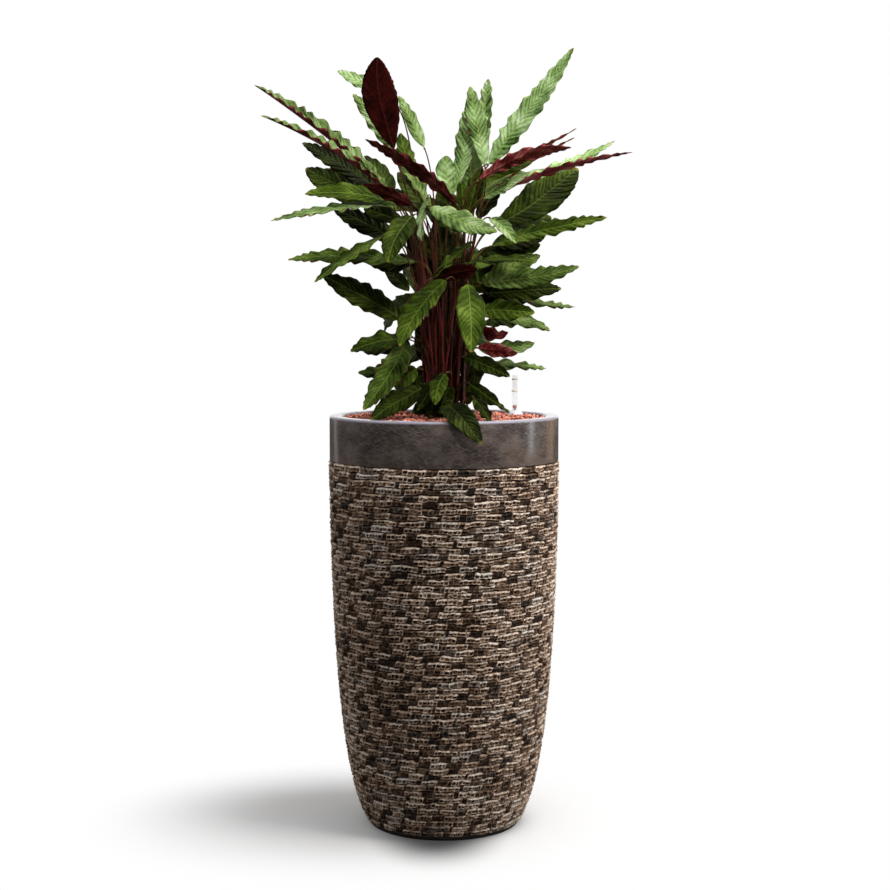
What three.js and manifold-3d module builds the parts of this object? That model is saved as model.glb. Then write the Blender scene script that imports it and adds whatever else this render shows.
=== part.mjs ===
// A velvet calathea in a tall planter clad with thin stone courses. The planter holds a liner filled
// with fired-clay granules, the culture pot that the plant was raised in, and a water gauge.
// Millimetres, +Z up, the origin in the middle of the foot, the front towards -Y.
import * as THREE from 'three';
import { mergeVertices } from 'three/addons/utils/BufferGeometryUtils.js';
import Module from 'manifold-3d';

const wasm = await Module();
wasm.setup();

// Planter
const planterHeight = 720;
const bandHeight = 78;
const rimRadius = 200;
const lipWidth = 22;
const lipThickness = 8;
const bandWall = 10;
const footRadius = 132;
const footHeight = 8;
const bodyWall = 14;
const floorThickness = 12;
const bodyTop = planterHeight - bandHeight;
const bodyOutline = new THREE.CubicBezierCurve(
  new THREE.Vector2(136, footHeight),
  new THREE.Vector2(182, 90),
  new THREE.Vector2(196, 330),
  new THREE.Vector2(rimRadius, bodyTop)
);
const courseCount = 14;
const stonesRound = 36;
const stoneProud = 2.6;
const leastProud = 0.3;
const jointDepth = 1.6;
const footStep = 0.5;
const innerLevels = [bodyTop, 400, 220, 110, floorThickness];
const roundSteps = 36;

// Liner, granules and culture pot
const seatGap = 0.3;
const linerDepth = 297;
const linerTopRadius = 172;
const linerFootRadius = 150;
const linerWall = 3;
const linerFlange = 189.5;
const surfaceHeight = 713.5;
const surfaceRoughness = 1.4;
const culturePotHeight = 190;
const culturePotTop = 715;
const culturePotTopRadius = 95;
const culturePotFootRadius = 82;
const culturePotWall = 2;
const culturePotSteps = 24;
const slotCount = 8;
const slotSize = [12, 6, 40];
const slotHeight = 45;
const slotOut = 3;
const granuleSettle = 3;
const granuleGap = 1.3;
const outerRings = 5;
const innerRings = 3;

// Crown, stalks and blades
const crownRadius = 44;
const crownFoot = 690;
const crownTop = 724;
const crownShoulder = [33, 720];
const crownRimDrop = 6;
const crownSteps = 16;
const stalkSpread = 20;
const stalkReach = 33;
const stalkLean = 0.22;
const stalkFoot = 700;
const goldenAngle = 2.39996;
const firstPullShare = [0.12, 0.12, 0.55];
const lastPullShare = 0.3;
const longestPull = 60;
const stalkSides = 3;
const stalkSteps = 6;
const stalkFootRadius = 2.1;
const stalkTopRadius = 1.3;
const stalkSeam = [0.31, 0.95, 0.04];
const stalkGap = 0.95;
const bladeThickness = 0.8;
const bladeWave = 4;
const bladeStepLength = 30;
const bladeFootHalf = 0.6;
const fewestBladeSteps = 5;
const mostBladeSteps = 9;
const outlineFullness = 0.68;

// Water gauge
const gaugePlace = [127, 80];
const gaugeTop = 787.5;
const sleeveRadius = 5.2;
const sleeveBore = 3.7;
const sleeveCap = 3;
const sleeveBevel = 1;
const gaugeSteps = 12;
const collarRadius = 15;
const collarHeight = 9;
const collarBevel = [5, 3];
const shoulder = 6;
const shaftRadius = 9.5;
const shaftBore = 7.5;
const shaftFoot = 560;
const rodRadius = 1.8;
const rodBore = 2.6;
const markHeight = 733;
const markRadius = 3;
const markLength = 6;
const floatRadius = 6.8;
const floatLength = 40;
const floatRise = 20;

// Leaves are placed as they look from a point in front of the plant, and set back or forward along
// that line of sight by their depth (negative is nearer to the viewer).
const viewDistance = 2970;
const viewHeight = 896;

// Each leaf: node, tip x, tip z, tip depth, base x, base z, base depth, width, facing, arch, sweep,
// fold, widest. Facing is the turn of the upper side towards the viewer in degrees, negative for the
// underside. Arch and sweep are how far the midrib bows from its chord, as a share of its length,
// towards the upper side and sideways. Fold is the rise of each half in degrees, and widest the
// share of the length where the blade is widest. Rows of one node touch.
const leaves = [
  // Upper left
  ['leaf_left_spears', -327, 1289, 10, -92, 1102, -8, 36, 22, 0.028, 0, 38, 0.46],
  ['leaf_left_spears', -316, 1237, -78, -92, 1102, -8, 31, 15, 0.045, 0, 33, 0.46],
  ['leaf_left_spears', -138, 1169, 34, -92, 1102, -8, 34, 52, 0.02, 0.09, 4, 0.46],
  ['leaf_left_dark_pair', -245, 1191, 96, -95, 1098, 44, 50, 50, 0.04, 0, 6, 0.46],
  ['leaf_left_dark_pair', -239, 1148, 136, -95, 1098, 44, 62, 62, 0, -0.06, 3, 0.46],
  ['leaf_left_bright_pair', -241, 1103, -62, -84, 1086, -28, 46, 42, 0.08, 0, 9, 0.46],
  ['leaf_left_bright_pair', -300, 1057, -128, -84, 1086, -28, 42, 22, 0.03, 0, 3, 0.46],
  ['leaf_left_shaded', -191, 1078, 118, -80, 1022, 40, 46, 60, 0.03, 0, 3, 0.42],
  ['leaf_left_tip_small', -183, 1314, 66, -93, 1266, 48, 30, 60, 0.03, 0, 7, 0.46],
  ['leaf_left_behind_red', -157, 1274, 28, -90, 1177, 14, 34, 58, 0.02, 0.03, 4, 0.46],
  ['leaf_red_upright', -115, 1337, -78, -86, 1181, -20, 60, -80, 0, -0.05, 3, 0.56],
  ['leaf_upper_left_small', -78, 1271, 20, -35, 1184, 14, 26, 65, 0.01, 0, 2, 0.46],
  ['leaf_upper_left_tucked', -75, 1208, 2, -55, 1145, -8, 30, 60, 0, -0.05, 3, 0.46],
  ['leaf_red_crossing', -136, 1197, -112, 21, 1086, -40, 35, -36, 0.02, 0.04, 3, 0.46],
  ['leaf_red_left', -140, 1120, -64, -54, 1084, -50, 30, -46, 0.02, 0, 3, 0.46],
  // Upper middle and right
  ['leaf_top_middle_low_pair', 5, 1169, 30, 16, 1102, 22, 40, 75, 0, -0.08, 3, 0.55],
  ['leaf_top_middle_low_pair', 43, 1259, 42, 16, 1102, 22, 40, 66, 0, -0.05, 6, 0.62],
  ['leaf_top_middle_pair', 45, 1287, 8, 71, 1151, 2, 39, 68, 0, 0, 4, 0.52],
  ['leaf_top_middle_pair', 76, 1300, 40, 71, 1151, 2, 27, 62, 0, 0.02, 2, 0.68],
  ['leaf_top_right_pair', 223, 1353, -40, 78, 1155, 2, 44, 56, 0, -0.01, 5, 0.38],
  ['leaf_top_right_pair', 229, 1216, 6, 78, 1155, 2, 20, -6, -0.05, 0, 2, 0.46],
  ['leaf_red_right_pair', 220, 1183, -108, 61, 1127, -36, 36, -34, 0.07, 0.03, 3, 0.46],
  ['leaf_red_right_pair', 163, 1169, -36, 61, 1127, -36, 44, 34, 0, -0.02, 2, 0.46],
  ['leaf_right_spears', 226, 1200, -6, 99, 1121, 2, 20, -8, 0.03, 0, 2, 0.46],
  ['leaf_right_spears', 295, 1194, 26, 99, 1121, 2, 38, 30, -0.05, 0, 4, 0.46],
  ['leaf_right_low_spears', 326, 1175, -88, 68, 1097, -48, 32, -17, 0.036, 0, 3, 0.46],
  ['leaf_right_low_spears', 149, 1141, -118, 68, 1097, -48, 30, 36, -0.02, 0, 3, 0.46],
  ['leaf_right_dark_pair', 231, 1148, 96, 88, 1048, 42, 70, 66, 0.02, -0.045, 2, 0.55],
  ['leaf_right_dark_pair', 186, 1064, 126, 88, 1048, 42, 56, 55, 0.02, 0, 2, 0.46],
  ['leaf_right_wavy_pair', 283, 1063, -74, 83, 1014, 2, 40, 42, 0.03, 0, 2, 0.46],
  ['leaf_right_wavy_pair', 179, 1040, 44, 83, 1014, 2, 46, 62, 0.01, -0.02, 0, 0.5],
  ['leaf_right_droop_lime', 126, 1018, -122, 80, 1062, -76, 26, 60, 0.1, 0, 12, 0.46],
  // Middle front
  ['leaf_front_bright', 92, 1038, -160, -24, 1081, -84, 44, 58, -0.03, -0.02, 2, 0.46],
  ['leaf_front_left_droop', -97, 985, -146, -54, 1066, -86, 46, 72, 0.07, 0.05, 6, 0.46],
  ['leaf_front_curl', -38, 1022, -112, -30, 1094, -84, 32, 26, 0.05, 0, 12, 0.46],
  ['leaf_front_tucked', -68, 1140, -30, -22, 1076, -54, 28, 35, 0.05, 0, 12, 0.46],
  ['leaf_mid_centre_pair', 52, 1023, -78, -20, 958, -62, 34, 24, 0.03, 0, 4, 0.46],
  ['leaf_mid_centre_pair', 58, 974, -68, -20, 958, -62, 36, -48, 0.05, 0, 3, 0.46],
  // Middle left
  ['leaf_mid_left_pair', -271, 990, -56, -50, 986, -20, 48, 32, 0.04, 0, 2, 0.46],
  ['leaf_mid_left_pair', -132, 988, 22, -50, 986, -20, 38, 60, 0, -0.03, 0, 0.46],
  ['leaf_mid_left_crossing', -225, 951, -118, -108, 1031, -58, 38, 32, 0.03, 0, 2, 0.46],
  ['leaf_mid_left_broad', -212, 964, 34, -73, 887, 20, 51, 60, 0.02, 0, 6, 0.46],
  ['leaf_front_left_broad', -77, 840, -150, 3, 955, -78, 54, 52, 0.04, 0.04, 13, 0.46],
  ['leaf_front_middle', 47, 829, -156, 42, 948, -82, 50, 76, 0.06, 0, 6, 0.46],
  // Middle right
  ['leaf_mid_right_lime', 160, 986, -96, 40, 984, -48, 30, 24, 0.05, 0, 4, 0.46],
  ['leaf_mid_right_high_pair', 167, 998, 6, 66, 950, -4, 42, 60, 0.02, 0, 2, 0.46],
  ['leaf_mid_right_high_pair', 235, 978, -84, 66, 950, -4, 44, 48, -0.02, -0.02, 2, 0.46],
  ['leaf_mid_right_broad_pair', 204, 940, 8, 77, 932, 12, 48, 50, 0.01, 0, 2, 0.46],
  ['leaf_mid_right_broad_pair', 229, 908, 40, 77, 932, 12, 30, 24, -0.02, 0, 3, 0.46],
  ['leaf_mid_right_front_pair', 158, 898, -92, 60, 901, -38, 42, 58, 0.05, 0, 4, 0.46],
  ['leaf_mid_right_front_pair', 118, 872, -34, 60, 901, -38, 26, 40, 0.06, 0, 12, 0.46],
  ['leaf_mid_right_low_pair', 185, 867, -4, 63, 877, 4, 38, 40, 0.15, 0, 3, 0.46],
  ['leaf_mid_right_low_pair', 112, 864, 12, 63, 877, 4, 28, -50, -0.2, -0.1, 0, 0.46],
  // Low right
  ['leaf_low_red_pair', 128, 828, -76, 59, 837, -26, 30, -52, 0, 0, 0, 0.46],
  ['leaf_low_red_pair', 158, 846, -16, 59, 837, -26, 36, 46, -0.04, -0.04, 0, 0.46],
  ['leaf_low_right_wavy_pair', 179, 801, 20, 52, 812, 14, 27, 30, 0.01, 0, 2, 0.46],
  ['leaf_low_right_wavy_pair', 52, 762, 48, 52, 812, 14, 38, 55, 0.02, 0, 3, 0.46],
  ['leaf_low_right_dark', 115, 787, -100, 35, 821, -50, 34, 55, 0.03, 0, 3, 0.46],
  ['leaf_low_right_front_pair', 98, 736, -68, 45, 774, -36, 28, 58, 0, 0, 0, 0.46],
  ['leaf_low_right_front_pair', 116, 723, -32, 45, 774, -36, 20, 28, 0, 0, 0, 0.46],
  ['leaf_low_front_small', 81, 706, -128, 52, 750, -92, 24, 58, 0.06, 0, 3, 0.46],
  ['leaf_over_rim', 67, 668, -236, 8, 736, -108, 40, 62, 0.19, -0.07, 6, 0.46],
  // Low left
  ['leaf_low_left_trio', -163, 831, -56, -66, 852, -20, 44, 42, 0.08, 0, 6, 0.46],
  ['leaf_low_left_trio', -140, 830, 12, -66, 852, -20, 32, 45, -0.02, -0.03, 2, 0.46],
  ['leaf_low_left_trio', -141, 729, -108, -66, 852, -20, 50, 64, 0.03, -0.06, 4, 0.46],
  ['leaf_low_left_dark_pair', -150, 794, 36, -48, 800, 10, 34, 55, -0.02, 0, 2, 0.46],
  ['leaf_low_left_dark_pair', -86, 766, 6, -48, 800, 10, 46, 50, 0.08, 0, 4, 0.46],
  ['leaf_low_left_front', -128, 711, -120, -38, 768, -44, 42, 66, 0.04, 0, 5, 0.46],
  ['leaf_low_front_pair', -46, 728, -96, 3, 792, -72, 36, 48, 0.06, 0, 4, 0.46],
  ['leaf_low_front_pair', -15, 737, -116, 3, 792, -72, 30, 72, 0.1, 0.05, 4, 0.46],
  // Back
  ['leaf_back_high_left_pair', -80, 1182, 215, -44, 1074, 54, 50, 50, 0.06, 0, 8, 0.46],
  ['leaf_back_high_left_pair', -150, 1096, 205, -44, 1074, 54, 54, 50, 0.06, 0, 8, 0.46],
  ['leaf_back_high_right_pair', 52, 1222, 190, 50, 1092, 52, 50, 60, 0.05, 0, 8, 0.46],
  ['leaf_back_high_right_pair', 138, 1142, 220, 50, 1092, 52, 52, 50, 0.06, 0, 8, 0.46],
  ['leaf_back_middle_trio', -22, 1076, 250, 22, 990, 66, 52, 45, 0.08, 0, 8, 0.46],
  ['leaf_back_middle_trio', 66, 1000, 235, 22, 990, 66, 50, 45, 0.08, 0, 8, 0.46],
  ['leaf_back_middle_trio', 134, 950, 200, 22, 990, 66, 50, 45, 0.08, 0, 8, 0.46],
  ['leaf_back_left_pair', -84, 1000, 220, -44, 926, 56, 44, 45, 0.08, 0, 8, 0.46],
  ['leaf_back_left_pair', -104, 868, 190, -44, 926, 56, 44, 45, 0.1, 0, 8, 0.46],
  ['leaf_back_low_four', 6, 762, 150, 6, 846, 54, 40, 40, 0.14, 0, 8, 0.46],
  ['leaf_back_low_four', 34, 888, 215, 6, 846, 54, 48, 40, 0.1, 0, 8, 0.46],
  ['leaf_back_low_four', 86, 838, 175, 6, 846, 54, 42, 40, 0.12, 0, 8, 0.46],
  ['leaf_back_low_four', -72, 800, 160, 6, 846, 54, 44, 40, 0.12, 0, 8, 0.46],
];

const materials = {
  stone: new THREE.MeshStandardMaterial({ color: 0x5f4d3a, roughness: 0.85, metalness: 0 }),
  band: new THREE.MeshStandardMaterial({ color: 0x3f3833, roughness: 0.35, metalness: 0.5 }),
  darkPlastic: new THREE.MeshStandardMaterial({ color: 0x1b1b1b, roughness: 0.5, metalness: 0 }),
  clay: new THREE.MeshStandardMaterial({ color: 0xa05a43, roughness: 0.95, metalness: 0 }),
  clear: new THREE.MeshStandardMaterial({ color: 0xe8ecec, roughness: 0.15, metalness: 0 }),
  greyPlastic: new THREE.MeshStandardMaterial({ color: 0xc9ccd0, roughness: 0.4, metalness: 0 }),
  redPlastic: new THREE.MeshStandardMaterial({ color: 0xb02a20, roughness: 0.4, metalness: 0 }),
  stalk: new THREE.MeshStandardMaterial({ color: 0x4a1414, roughness: 0.6, metalness: 0 }),
  blade: new THREE.MeshStandardMaterial({ color: 0x33501f, roughness: 0.55, metalness: 0 }),
  blush: new THREE.MeshStandardMaterial({ color: 0x4a1018, roughness: 0.6, metalness: 0 }),
};

const plant = new THREE.Group();

function addMesh(name, geometry, material) {
  const mesh = new THREE.Mesh(geometry, material.clone());
  mesh.name = name;
  plant.add(mesh);
}

function toSolid(geometry) {
  const bare = geometry.clone();
  bare.deleteAttribute('normal');
  bare.deleteAttribute('uv');
  const merged = mergeVertices(bare, 1e-4);
  return new wasm.Manifold(new wasm.Mesh({
    numProp: 3,
    vertProperties: new Float32Array(merged.attributes.position.array),
    triVerts: new Uint32Array(merged.index.array),
  }));
}

function toGeometry(solid) {
  const mesh = solid.getMesh();
  const geometry = new THREE.BufferGeometry();
  geometry.setAttribute('position', new THREE.BufferAttribute(mesh.vertProperties, 3));
  geometry.setIndex(new THREE.BufferAttribute(mesh.triVerts, 1));
  geometry.computeVertexNormals();
  return geometry;
}

function fromTriangles(points, triangles) {
  const geometry = new THREE.BufferGeometry();
  geometry.setAttribute('position', new THREE.Float32BufferAttribute(points.flat(), 3));
  geometry.setIndex(triangles.flat());
  geometry.computeVertexNormals();
  return geometry;
}

// A round solid: its outline runs anticlockwise in (radius, height) and is turned about +Z.
function turned(outline, steps = roundSteps) {
  const points = outline.map(([radius, height]) => new THREE.Vector2(radius, height));
  const geometry = new THREE.LatheGeometry(points, steps);
  geometry.rotateX(Math.PI / 2);
  return toGeometry(toSolid(geometry));
}

// A fixed scatter between 0 and 1 for a pair of whole numbers.
function scatter(first, second) {
  const value = Math.sin(first * 127.1 + second * 311.7 + 17.3) * 43758.5453;
  return value - Math.floor(value);
}

// Planter

function bodyRadius(height) {
  let low = 0;
  let high = 1;
  for (let round = 0; round < 30; round += 1) {
    const middle = (low + high) / 2;
    if (bodyOutline.getPoint(middle).y < height) {
      low = middle;
    } else {
      high = middle;
    }
  }
  return bodyOutline.getPoint(low).x;
}

// The rows of the wall, from the middle of the foot up the outside, over the top and down the inside.
// Every second row of the cladding is a joint, and the rows between are stones that stand proud.
function bodyRows() {
  const rows = [{ radius: footRadius, height: 0 }, { radius: footRadius, height: footHeight }];
  const courseHeight = (bodyTop - footHeight) / courseCount;
  for (let course = 0; course < courseCount; course += 1) {
    const joint = footHeight + course * courseHeight;
    const middle = joint + courseHeight / 2;
    rows.push({ radius: bodyRadius(joint) - jointDepth, height: joint + (course === 0 ? footStep : 0) });
    rows.push({ radius: bodyRadius(middle), height: middle, course });
  }
  rows.push({ radius: rimRadius, height: bodyTop });
  for (const level of innerLevels) {
    rows.push({ radius: bodyRadius(Math.max(level, footHeight)) - bodyWall, height: level });
  }
  return rows;
}

function planterBody() {
  const rows = bodyRows();
  const points = [[0, 0, 0]];
  for (const row of rows) {
    for (let step = 0; step < stonesRound; step += 1) {
      const isStone = row.course !== undefined;
      const shift = isStone && row.course % 2 ? 0.5 : 0;
      const angle = ((step + shift) / stonesRound) * 2 * Math.PI;
      const share = isStone ? leastProud + (1 - leastProud) * scatter(row.course, step) : 0;
      const radius = row.radius + stoneProud * share;
      points.push([radius * Math.cos(angle), radius * Math.sin(angle), row.height]);
    }
  }
  points.push([0, 0, floorThickness]);
  const last = points.length - 1;
  const triangles = [];
  for (let step = 0; step < stonesRound; step += 1) {
    const next = (step + 1) % stonesRound;
    triangles.push([0, 1 + next, 1 + step]);
    for (let row = 0; row < rows.length - 1; row += 1) {
      const here = 1 + row * stonesRound;
      const above = here + stonesRound;
      triangles.push([here + step, here + next, above + next]);
      triangles.push([here + step, above + next, above + step]);
    }
    const top = 1 + (rows.length - 1) * stonesRound;
    triangles.push([top + step, top + next, last]);
  }
  return fromTriangles(points, triangles);
}

function rimBand() {
  const inner = rimRadius - bandWall;
  const lip = rimRadius - lipWidth;
  const foot = bodyTop + seatGap;
  return turned([
    [inner, foot], [rimRadius, foot], [rimRadius, planterHeight], [lip, planterHeight],
    [lip, planterHeight - lipThickness], [inner, planterHeight - lipThickness], [inner, foot],
  ]);
}

function liner() {
  const seat = bodyTop + seatGap;
  const foot = seat - linerDepth;
  return turned([
    [0, foot], [linerFootRadius, foot], [linerTopRadius, seat], [linerFlange, seat],
    [linerFlange, seat + linerWall], [linerTopRadius - linerWall, seat + linerWall],
    [linerFootRadius - linerWall, foot + linerWall], [0, foot + linerWall],
  ]);
}

// Granules

// A ring of granules or a full disc of them seen from above: its top is rough by the scatter above.
function roughTop(innerRadius, outerRadius, rings) {
  const rows = [];
  for (let ring = 0; ring <= rings; ring += 1) {
    const radius = outerRadius + ((innerRadius - outerRadius) * ring) / rings;
    rows.push({ radius, height: surfaceHeight, rough: ring > 0 && ring < rings });
  }
  return rows;
}

function turnedRows(rows, closesOnAxis) {
  const points = [];
  rows.forEach((row, index) => {
    for (let step = 0; step < roundSteps; step += 1) {
      const angle = (step / roundSteps) * 2 * Math.PI;
      const lift = row.rough ? surfaceRoughness * (2 * scatter(index, step) - 1) : 0;
      points.push([row.radius * Math.cos(angle), row.radius * Math.sin(angle), row.height + lift]);
    }
  });
  const triangles = [];
  const lastRow = closesOnAxis ? rows.length - 1 : rows.length;
  for (let row = 0; row < lastRow; row += 1) {
    const here = row * roundSteps;
    const above = ((row + 1) % rows.length) * roundSteps;
    for (let step = 0; step < roundSteps; step += 1) {
      const next = (step + 1) % roundSteps;
      triangles.push([here + step, here + next, above + next]);
      triangles.push([here + step, above + next, above + step]);
    }
  }
  if (closesOnAxis) {
    const low = points.push([0, 0, rows[0].height]) - 1;
    const high = points.push([0, 0, rows[rows.length - 1].height]) - 1;
    const top = (rows.length - 1) * roundSteps;
    for (let step = 0; step < roundSteps; step += 1) {
      const next = (step + 1) % roundSteps;
      triangles.push([low, next, step]);
      triangles.push([top + step, top + next, high]);
    }
  }
  return fromTriangles(points, triangles);
}

function granulesOuter() {
  const linerSeat = bodyTop + seatGap;
  const foot = linerSeat - linerDepth + linerWall + seatGap;
  const wall = linerWall + seatGap;
  const underLip = planterHeight - lipThickness - seatGap;
  const potFoot = culturePotTop - culturePotHeight - seatGap;
  const rows = [
    { radius: linerFootRadius - wall, height: foot },
    { radius: linerTopRadius - wall, height: linerSeat + linerWall + seatGap },
    { radius: rimRadius - bandWall - seatGap, height: linerSeat + linerWall + seatGap },
    { radius: rimRadius - bandWall - seatGap, height: underLip },
    { radius: rimRadius - lipWidth - seatGap, height: underLip },
    ...roughTop(culturePotTopRadius + seatGap, rimRadius - lipWidth - seatGap, outerRings),
    { radius: culturePotFootRadius + seatGap, height: potFoot },
  ];
  const bed = toSolid(turnedRows(rows, true));
  const pocketRadius = shaftRadius + seatGap;
  const pocketDepth = planterHeight - shaftFoot + seatGap;
  const pocket = new THREE.CylinderGeometry(pocketRadius, pocketRadius, pocketDepth, gaugeSteps);
  pocket.rotateX(Math.PI / 2);
  pocket.translate(...gaugePlace, planterHeight - pocketDepth / 2);
  return toGeometry(bed.subtract(toSolid(pocket)));
}

function culturePot() {
  const foot = culturePotTop - culturePotHeight;
  const cup = toSolid(turned([
    [0, foot], [culturePotFootRadius, foot], [culturePotTopRadius, culturePotTop],
    [culturePotTopRadius - culturePotWall, culturePotTop],
    [culturePotFootRadius - culturePotWall, foot + culturePotWall], [0, foot + culturePotWall],
  ], culturePotSteps));
  let pot = cup;
  for (let slot = 0; slot < slotCount; slot += 1) {
    const box = new THREE.BoxGeometry(...slotSize);
    box.translate(culturePotFootRadius + slotOut, 0, foot + slotHeight);
    box.rotateZ(((slot + 0.5) / slotCount) * 2 * Math.PI);
    pot = pot.subtract(toSolid(box));
  }
  return toGeometry(pot);
}

function granulesInner() {
  const foot = culturePotTop - culturePotHeight + culturePotWall + seatGap;
  const wall = culturePotWall + granuleGap;
  const rows = [
    { radius: culturePotFootRadius - wall, height: foot },
    { radius: culturePotTopRadius - wall, height: surfaceHeight - granuleSettle },
    ...roughTop(crownRadius + seatGap, culturePotTopRadius - wall, innerRings),
    { radius: crownRadius + seatGap, height: crownFoot - seatGap },
  ];
  return turnedRows(rows, true);
}

// Water gauge

function gaugeSleeve() {
  const foot = surfaceHeight + collarHeight + surfaceRoughness + seatGap;
  const outline = [
    [sleeveBore, foot], [sleeveRadius, foot], [sleeveRadius, gaugeTop - sleeveBevel],
    [sleeveRadius - sleeveBevel, gaugeTop], [0, gaugeTop], [0, gaugeTop - sleeveCap],
    [sleeveBore, gaugeTop - sleeveCap], [sleeveBore, foot],
  ];
  return turned(outline, gaugeSteps).translate(...gaugePlace, 0);
}

function gaugeFoot() {
  const seat = surfaceHeight + surfaceRoughness + seatGap;
  const top = seat + collarHeight - seatGap;
  const outline = [
    [shaftBore, shaftFoot], [shaftRadius, shaftFoot], [shaftRadius, seat], [collarRadius, seat],
    [collarRadius, top - collarBevel[1]], [collarRadius - collarBevel[0], top], [rodBore, top],
    [rodBore, seat], [shaftBore, seat - shoulder], [shaftBore, shaftFoot],
  ];
  return turned(outline, gaugeSteps).translate(...gaugePlace, 0);
}

function gaugeFloat() {
  const foot = shaftFoot + floatRise;
  const outline = [
    [0, foot], [floatRadius, foot], [floatRadius, foot + floatLength], [rodRadius, foot + floatLength],
    [rodRadius, markHeight - markLength], [markRadius, markHeight - markLength],
    [markRadius, markHeight], [0, markHeight],
  ];
  return turned(outline, gaugeSteps).translate(...gaugePlace, 0);
}

// Leaves

function onSightLine(x, z, depth) {
  const reach = 1 + depth / viewDistance;
  return new THREE.Vector3(x * reach, depth, viewHeight + (z - viewHeight) * reach);
}

// The midrib is a quadratic curve from base to tip that bows towards the upper side and sideways.
function leafShape(row) {
  const [node, tipX, tipZ, tipDepth, baseX, baseZ, baseDepth, width, facing, ...form] = row;
  const [arch, sweep, fold, widest] = form;
  const tip = onSightLine(tipX, tipZ, tipDepth);
  const base = onSightLine(baseX, baseZ, baseDepth);
  const chord = tip.clone().sub(base);
  const length = chord.length();
  const along = chord.clone().normalize();
  const toViewer = new THREE.Vector3(0, -1, 0);
  const front = toViewer.addScaledVector(along, -toViewer.dot(along)).normalize();
  const upward = along.clone().cross(front);
  if (upward.z < 0) {
    upward.negate();
  }
  const turn = THREE.MathUtils.degToRad(facing);
  const normal = front.multiplyScalar(Math.sin(turn)).addScaledVector(upward, Math.cos(turn));
  const sideways = along.clone().cross(normal);
  if (sideways.dot(upward) < 0) {
    sideways.negate();
  }
  const bow = base.clone().add(tip).multiplyScalar(0.5).addScaledVector(normal, 2 * arch * length);
  bow.addScaledVector(sideways, 2 * sweep * length);
  const midrib = new THREE.QuadraticBezierCurve3(base, bow, tip);
  return { node, width, length, facing, normal, fold, widest, midrib };
}

// A lance outline: the half width grows from the base to its widest place and runs out to the tip.
function halfWidth(share, width, widest) {
  const rise = Math.log(0.5) / Math.log(widest);
  const swell = share < 1 ? Math.sin(Math.PI * share ** rise) ** outlineFullness : 0;
  return bladeFootHalf + (width / 2 - bladeFootHalf) * swell;
}

// The blade is a thin folded strip with three points across, its margins waving up and down in turn.
function blade(shape) {
  const wanted = Math.round(shape.length / bladeStepLength);
  const steps = THREE.MathUtils.clamp(wanted, fewestBladeSteps, mostBladeSteps);
  const fold = Math.tan(THREE.MathUtils.degToRad(shape.fold));
  const points = [];
  for (let step = 0; step <= steps; step += 1) {
    const share = step / steps;
    const place = shape.midrib.getPoint(share);
    const tangent = shape.midrib.getTangent(share);
    const side = tangent.clone().cross(shape.normal).normalize();
    const up = side.clone().cross(tangent).normalize();
    const half = halfWidth(share, shape.width, shape.widest);
    const swing = step > 0 && step < steps ? (step % 2 ? 1 : -1) : 0;
    const wave = (swing * bladeWave * half) / (shape.width / 2);
    for (const face of [0.5, -0.5]) {
      for (const across of [-1, 0, 1]) {
        const lift = Math.abs(across) * half * fold + across * wave + face * bladeThickness;
        const point = place.clone().addScaledVector(side, across * half).addScaledVector(up, lift);
        points.push(point.toArray());
      }
    }
  }
  const triangles = [];
  for (let step = 0; step < steps; step += 1) {
    const here = step * 6;
    const next = here + 6;
    const flip = step % 2;
    for (const column of [0, 1]) {
      const [a, b, c, d] = [here + column, here + column + 1, next + column + 1, next + column];
      const split = (column + flip) % 2;
      triangles.push(...(split ? [[a, b, c], [a, c, d]] : [[a, b, d], [b, c, d]]));
      const [e, f, g, h] = [a + 3, b + 3, c + 3, d + 3];
      triangles.push(...(split ? [[e, g, f], [e, h, g]] : [[e, h, f], [f, h, g]]));
    }
    triangles.push([here, next, next + 3], [here, next + 3, here + 3]);
    triangles.push([here + 2, next + 5, next + 2], [here + 2, here + 5, next + 5]);
  }
  const end = steps * 6;
  triangles.push([0, 3, 1], [1, 3, 4], [1, 4, 2], [2, 4, 5]);
  triangles.push([end, end + 1, end + 3], [end + 1, end + 4, end + 3]);
  triangles.push([end + 1, end + 2, end + 4], [end + 2, end + 5, end + 4]);
  return toSolid(fromTriangles(points, triangles));
}

// A stalk rises from its own place in the crown and bends over into the direction of its blade.
function stalkCurve(shape, order) {
  const base = shape.midrib.getPoint(0);
  const direction = shape.midrib.getTangent(0);
  const end = base.clone().addScaledVector(direction, -stalkGap);
  const ring = stalkSpread * Math.sqrt(scatter(order, 3));
  const angle = order * goldenAngle;
  const foot = new THREE.Vector3(ring * Math.cos(angle), ring * Math.sin(angle), 0);
  foot.addScaledVector(end, stalkLean).setZ(0).clampLength(0, stalkReach).setZ(stalkFoot);
  const rise = end.z - foot.z;
  const firstPull = end.clone().setZ(rise).multiply(new THREE.Vector3(...firstPullShare)).add(foot);
  const lastPull = end.clone().addScaledVector(direction, -Math.min(lastPullShare * rise, longestPull));
  return new THREE.CubicBezierCurve3(foot, firstPull, lastPull, end);
}

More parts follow.
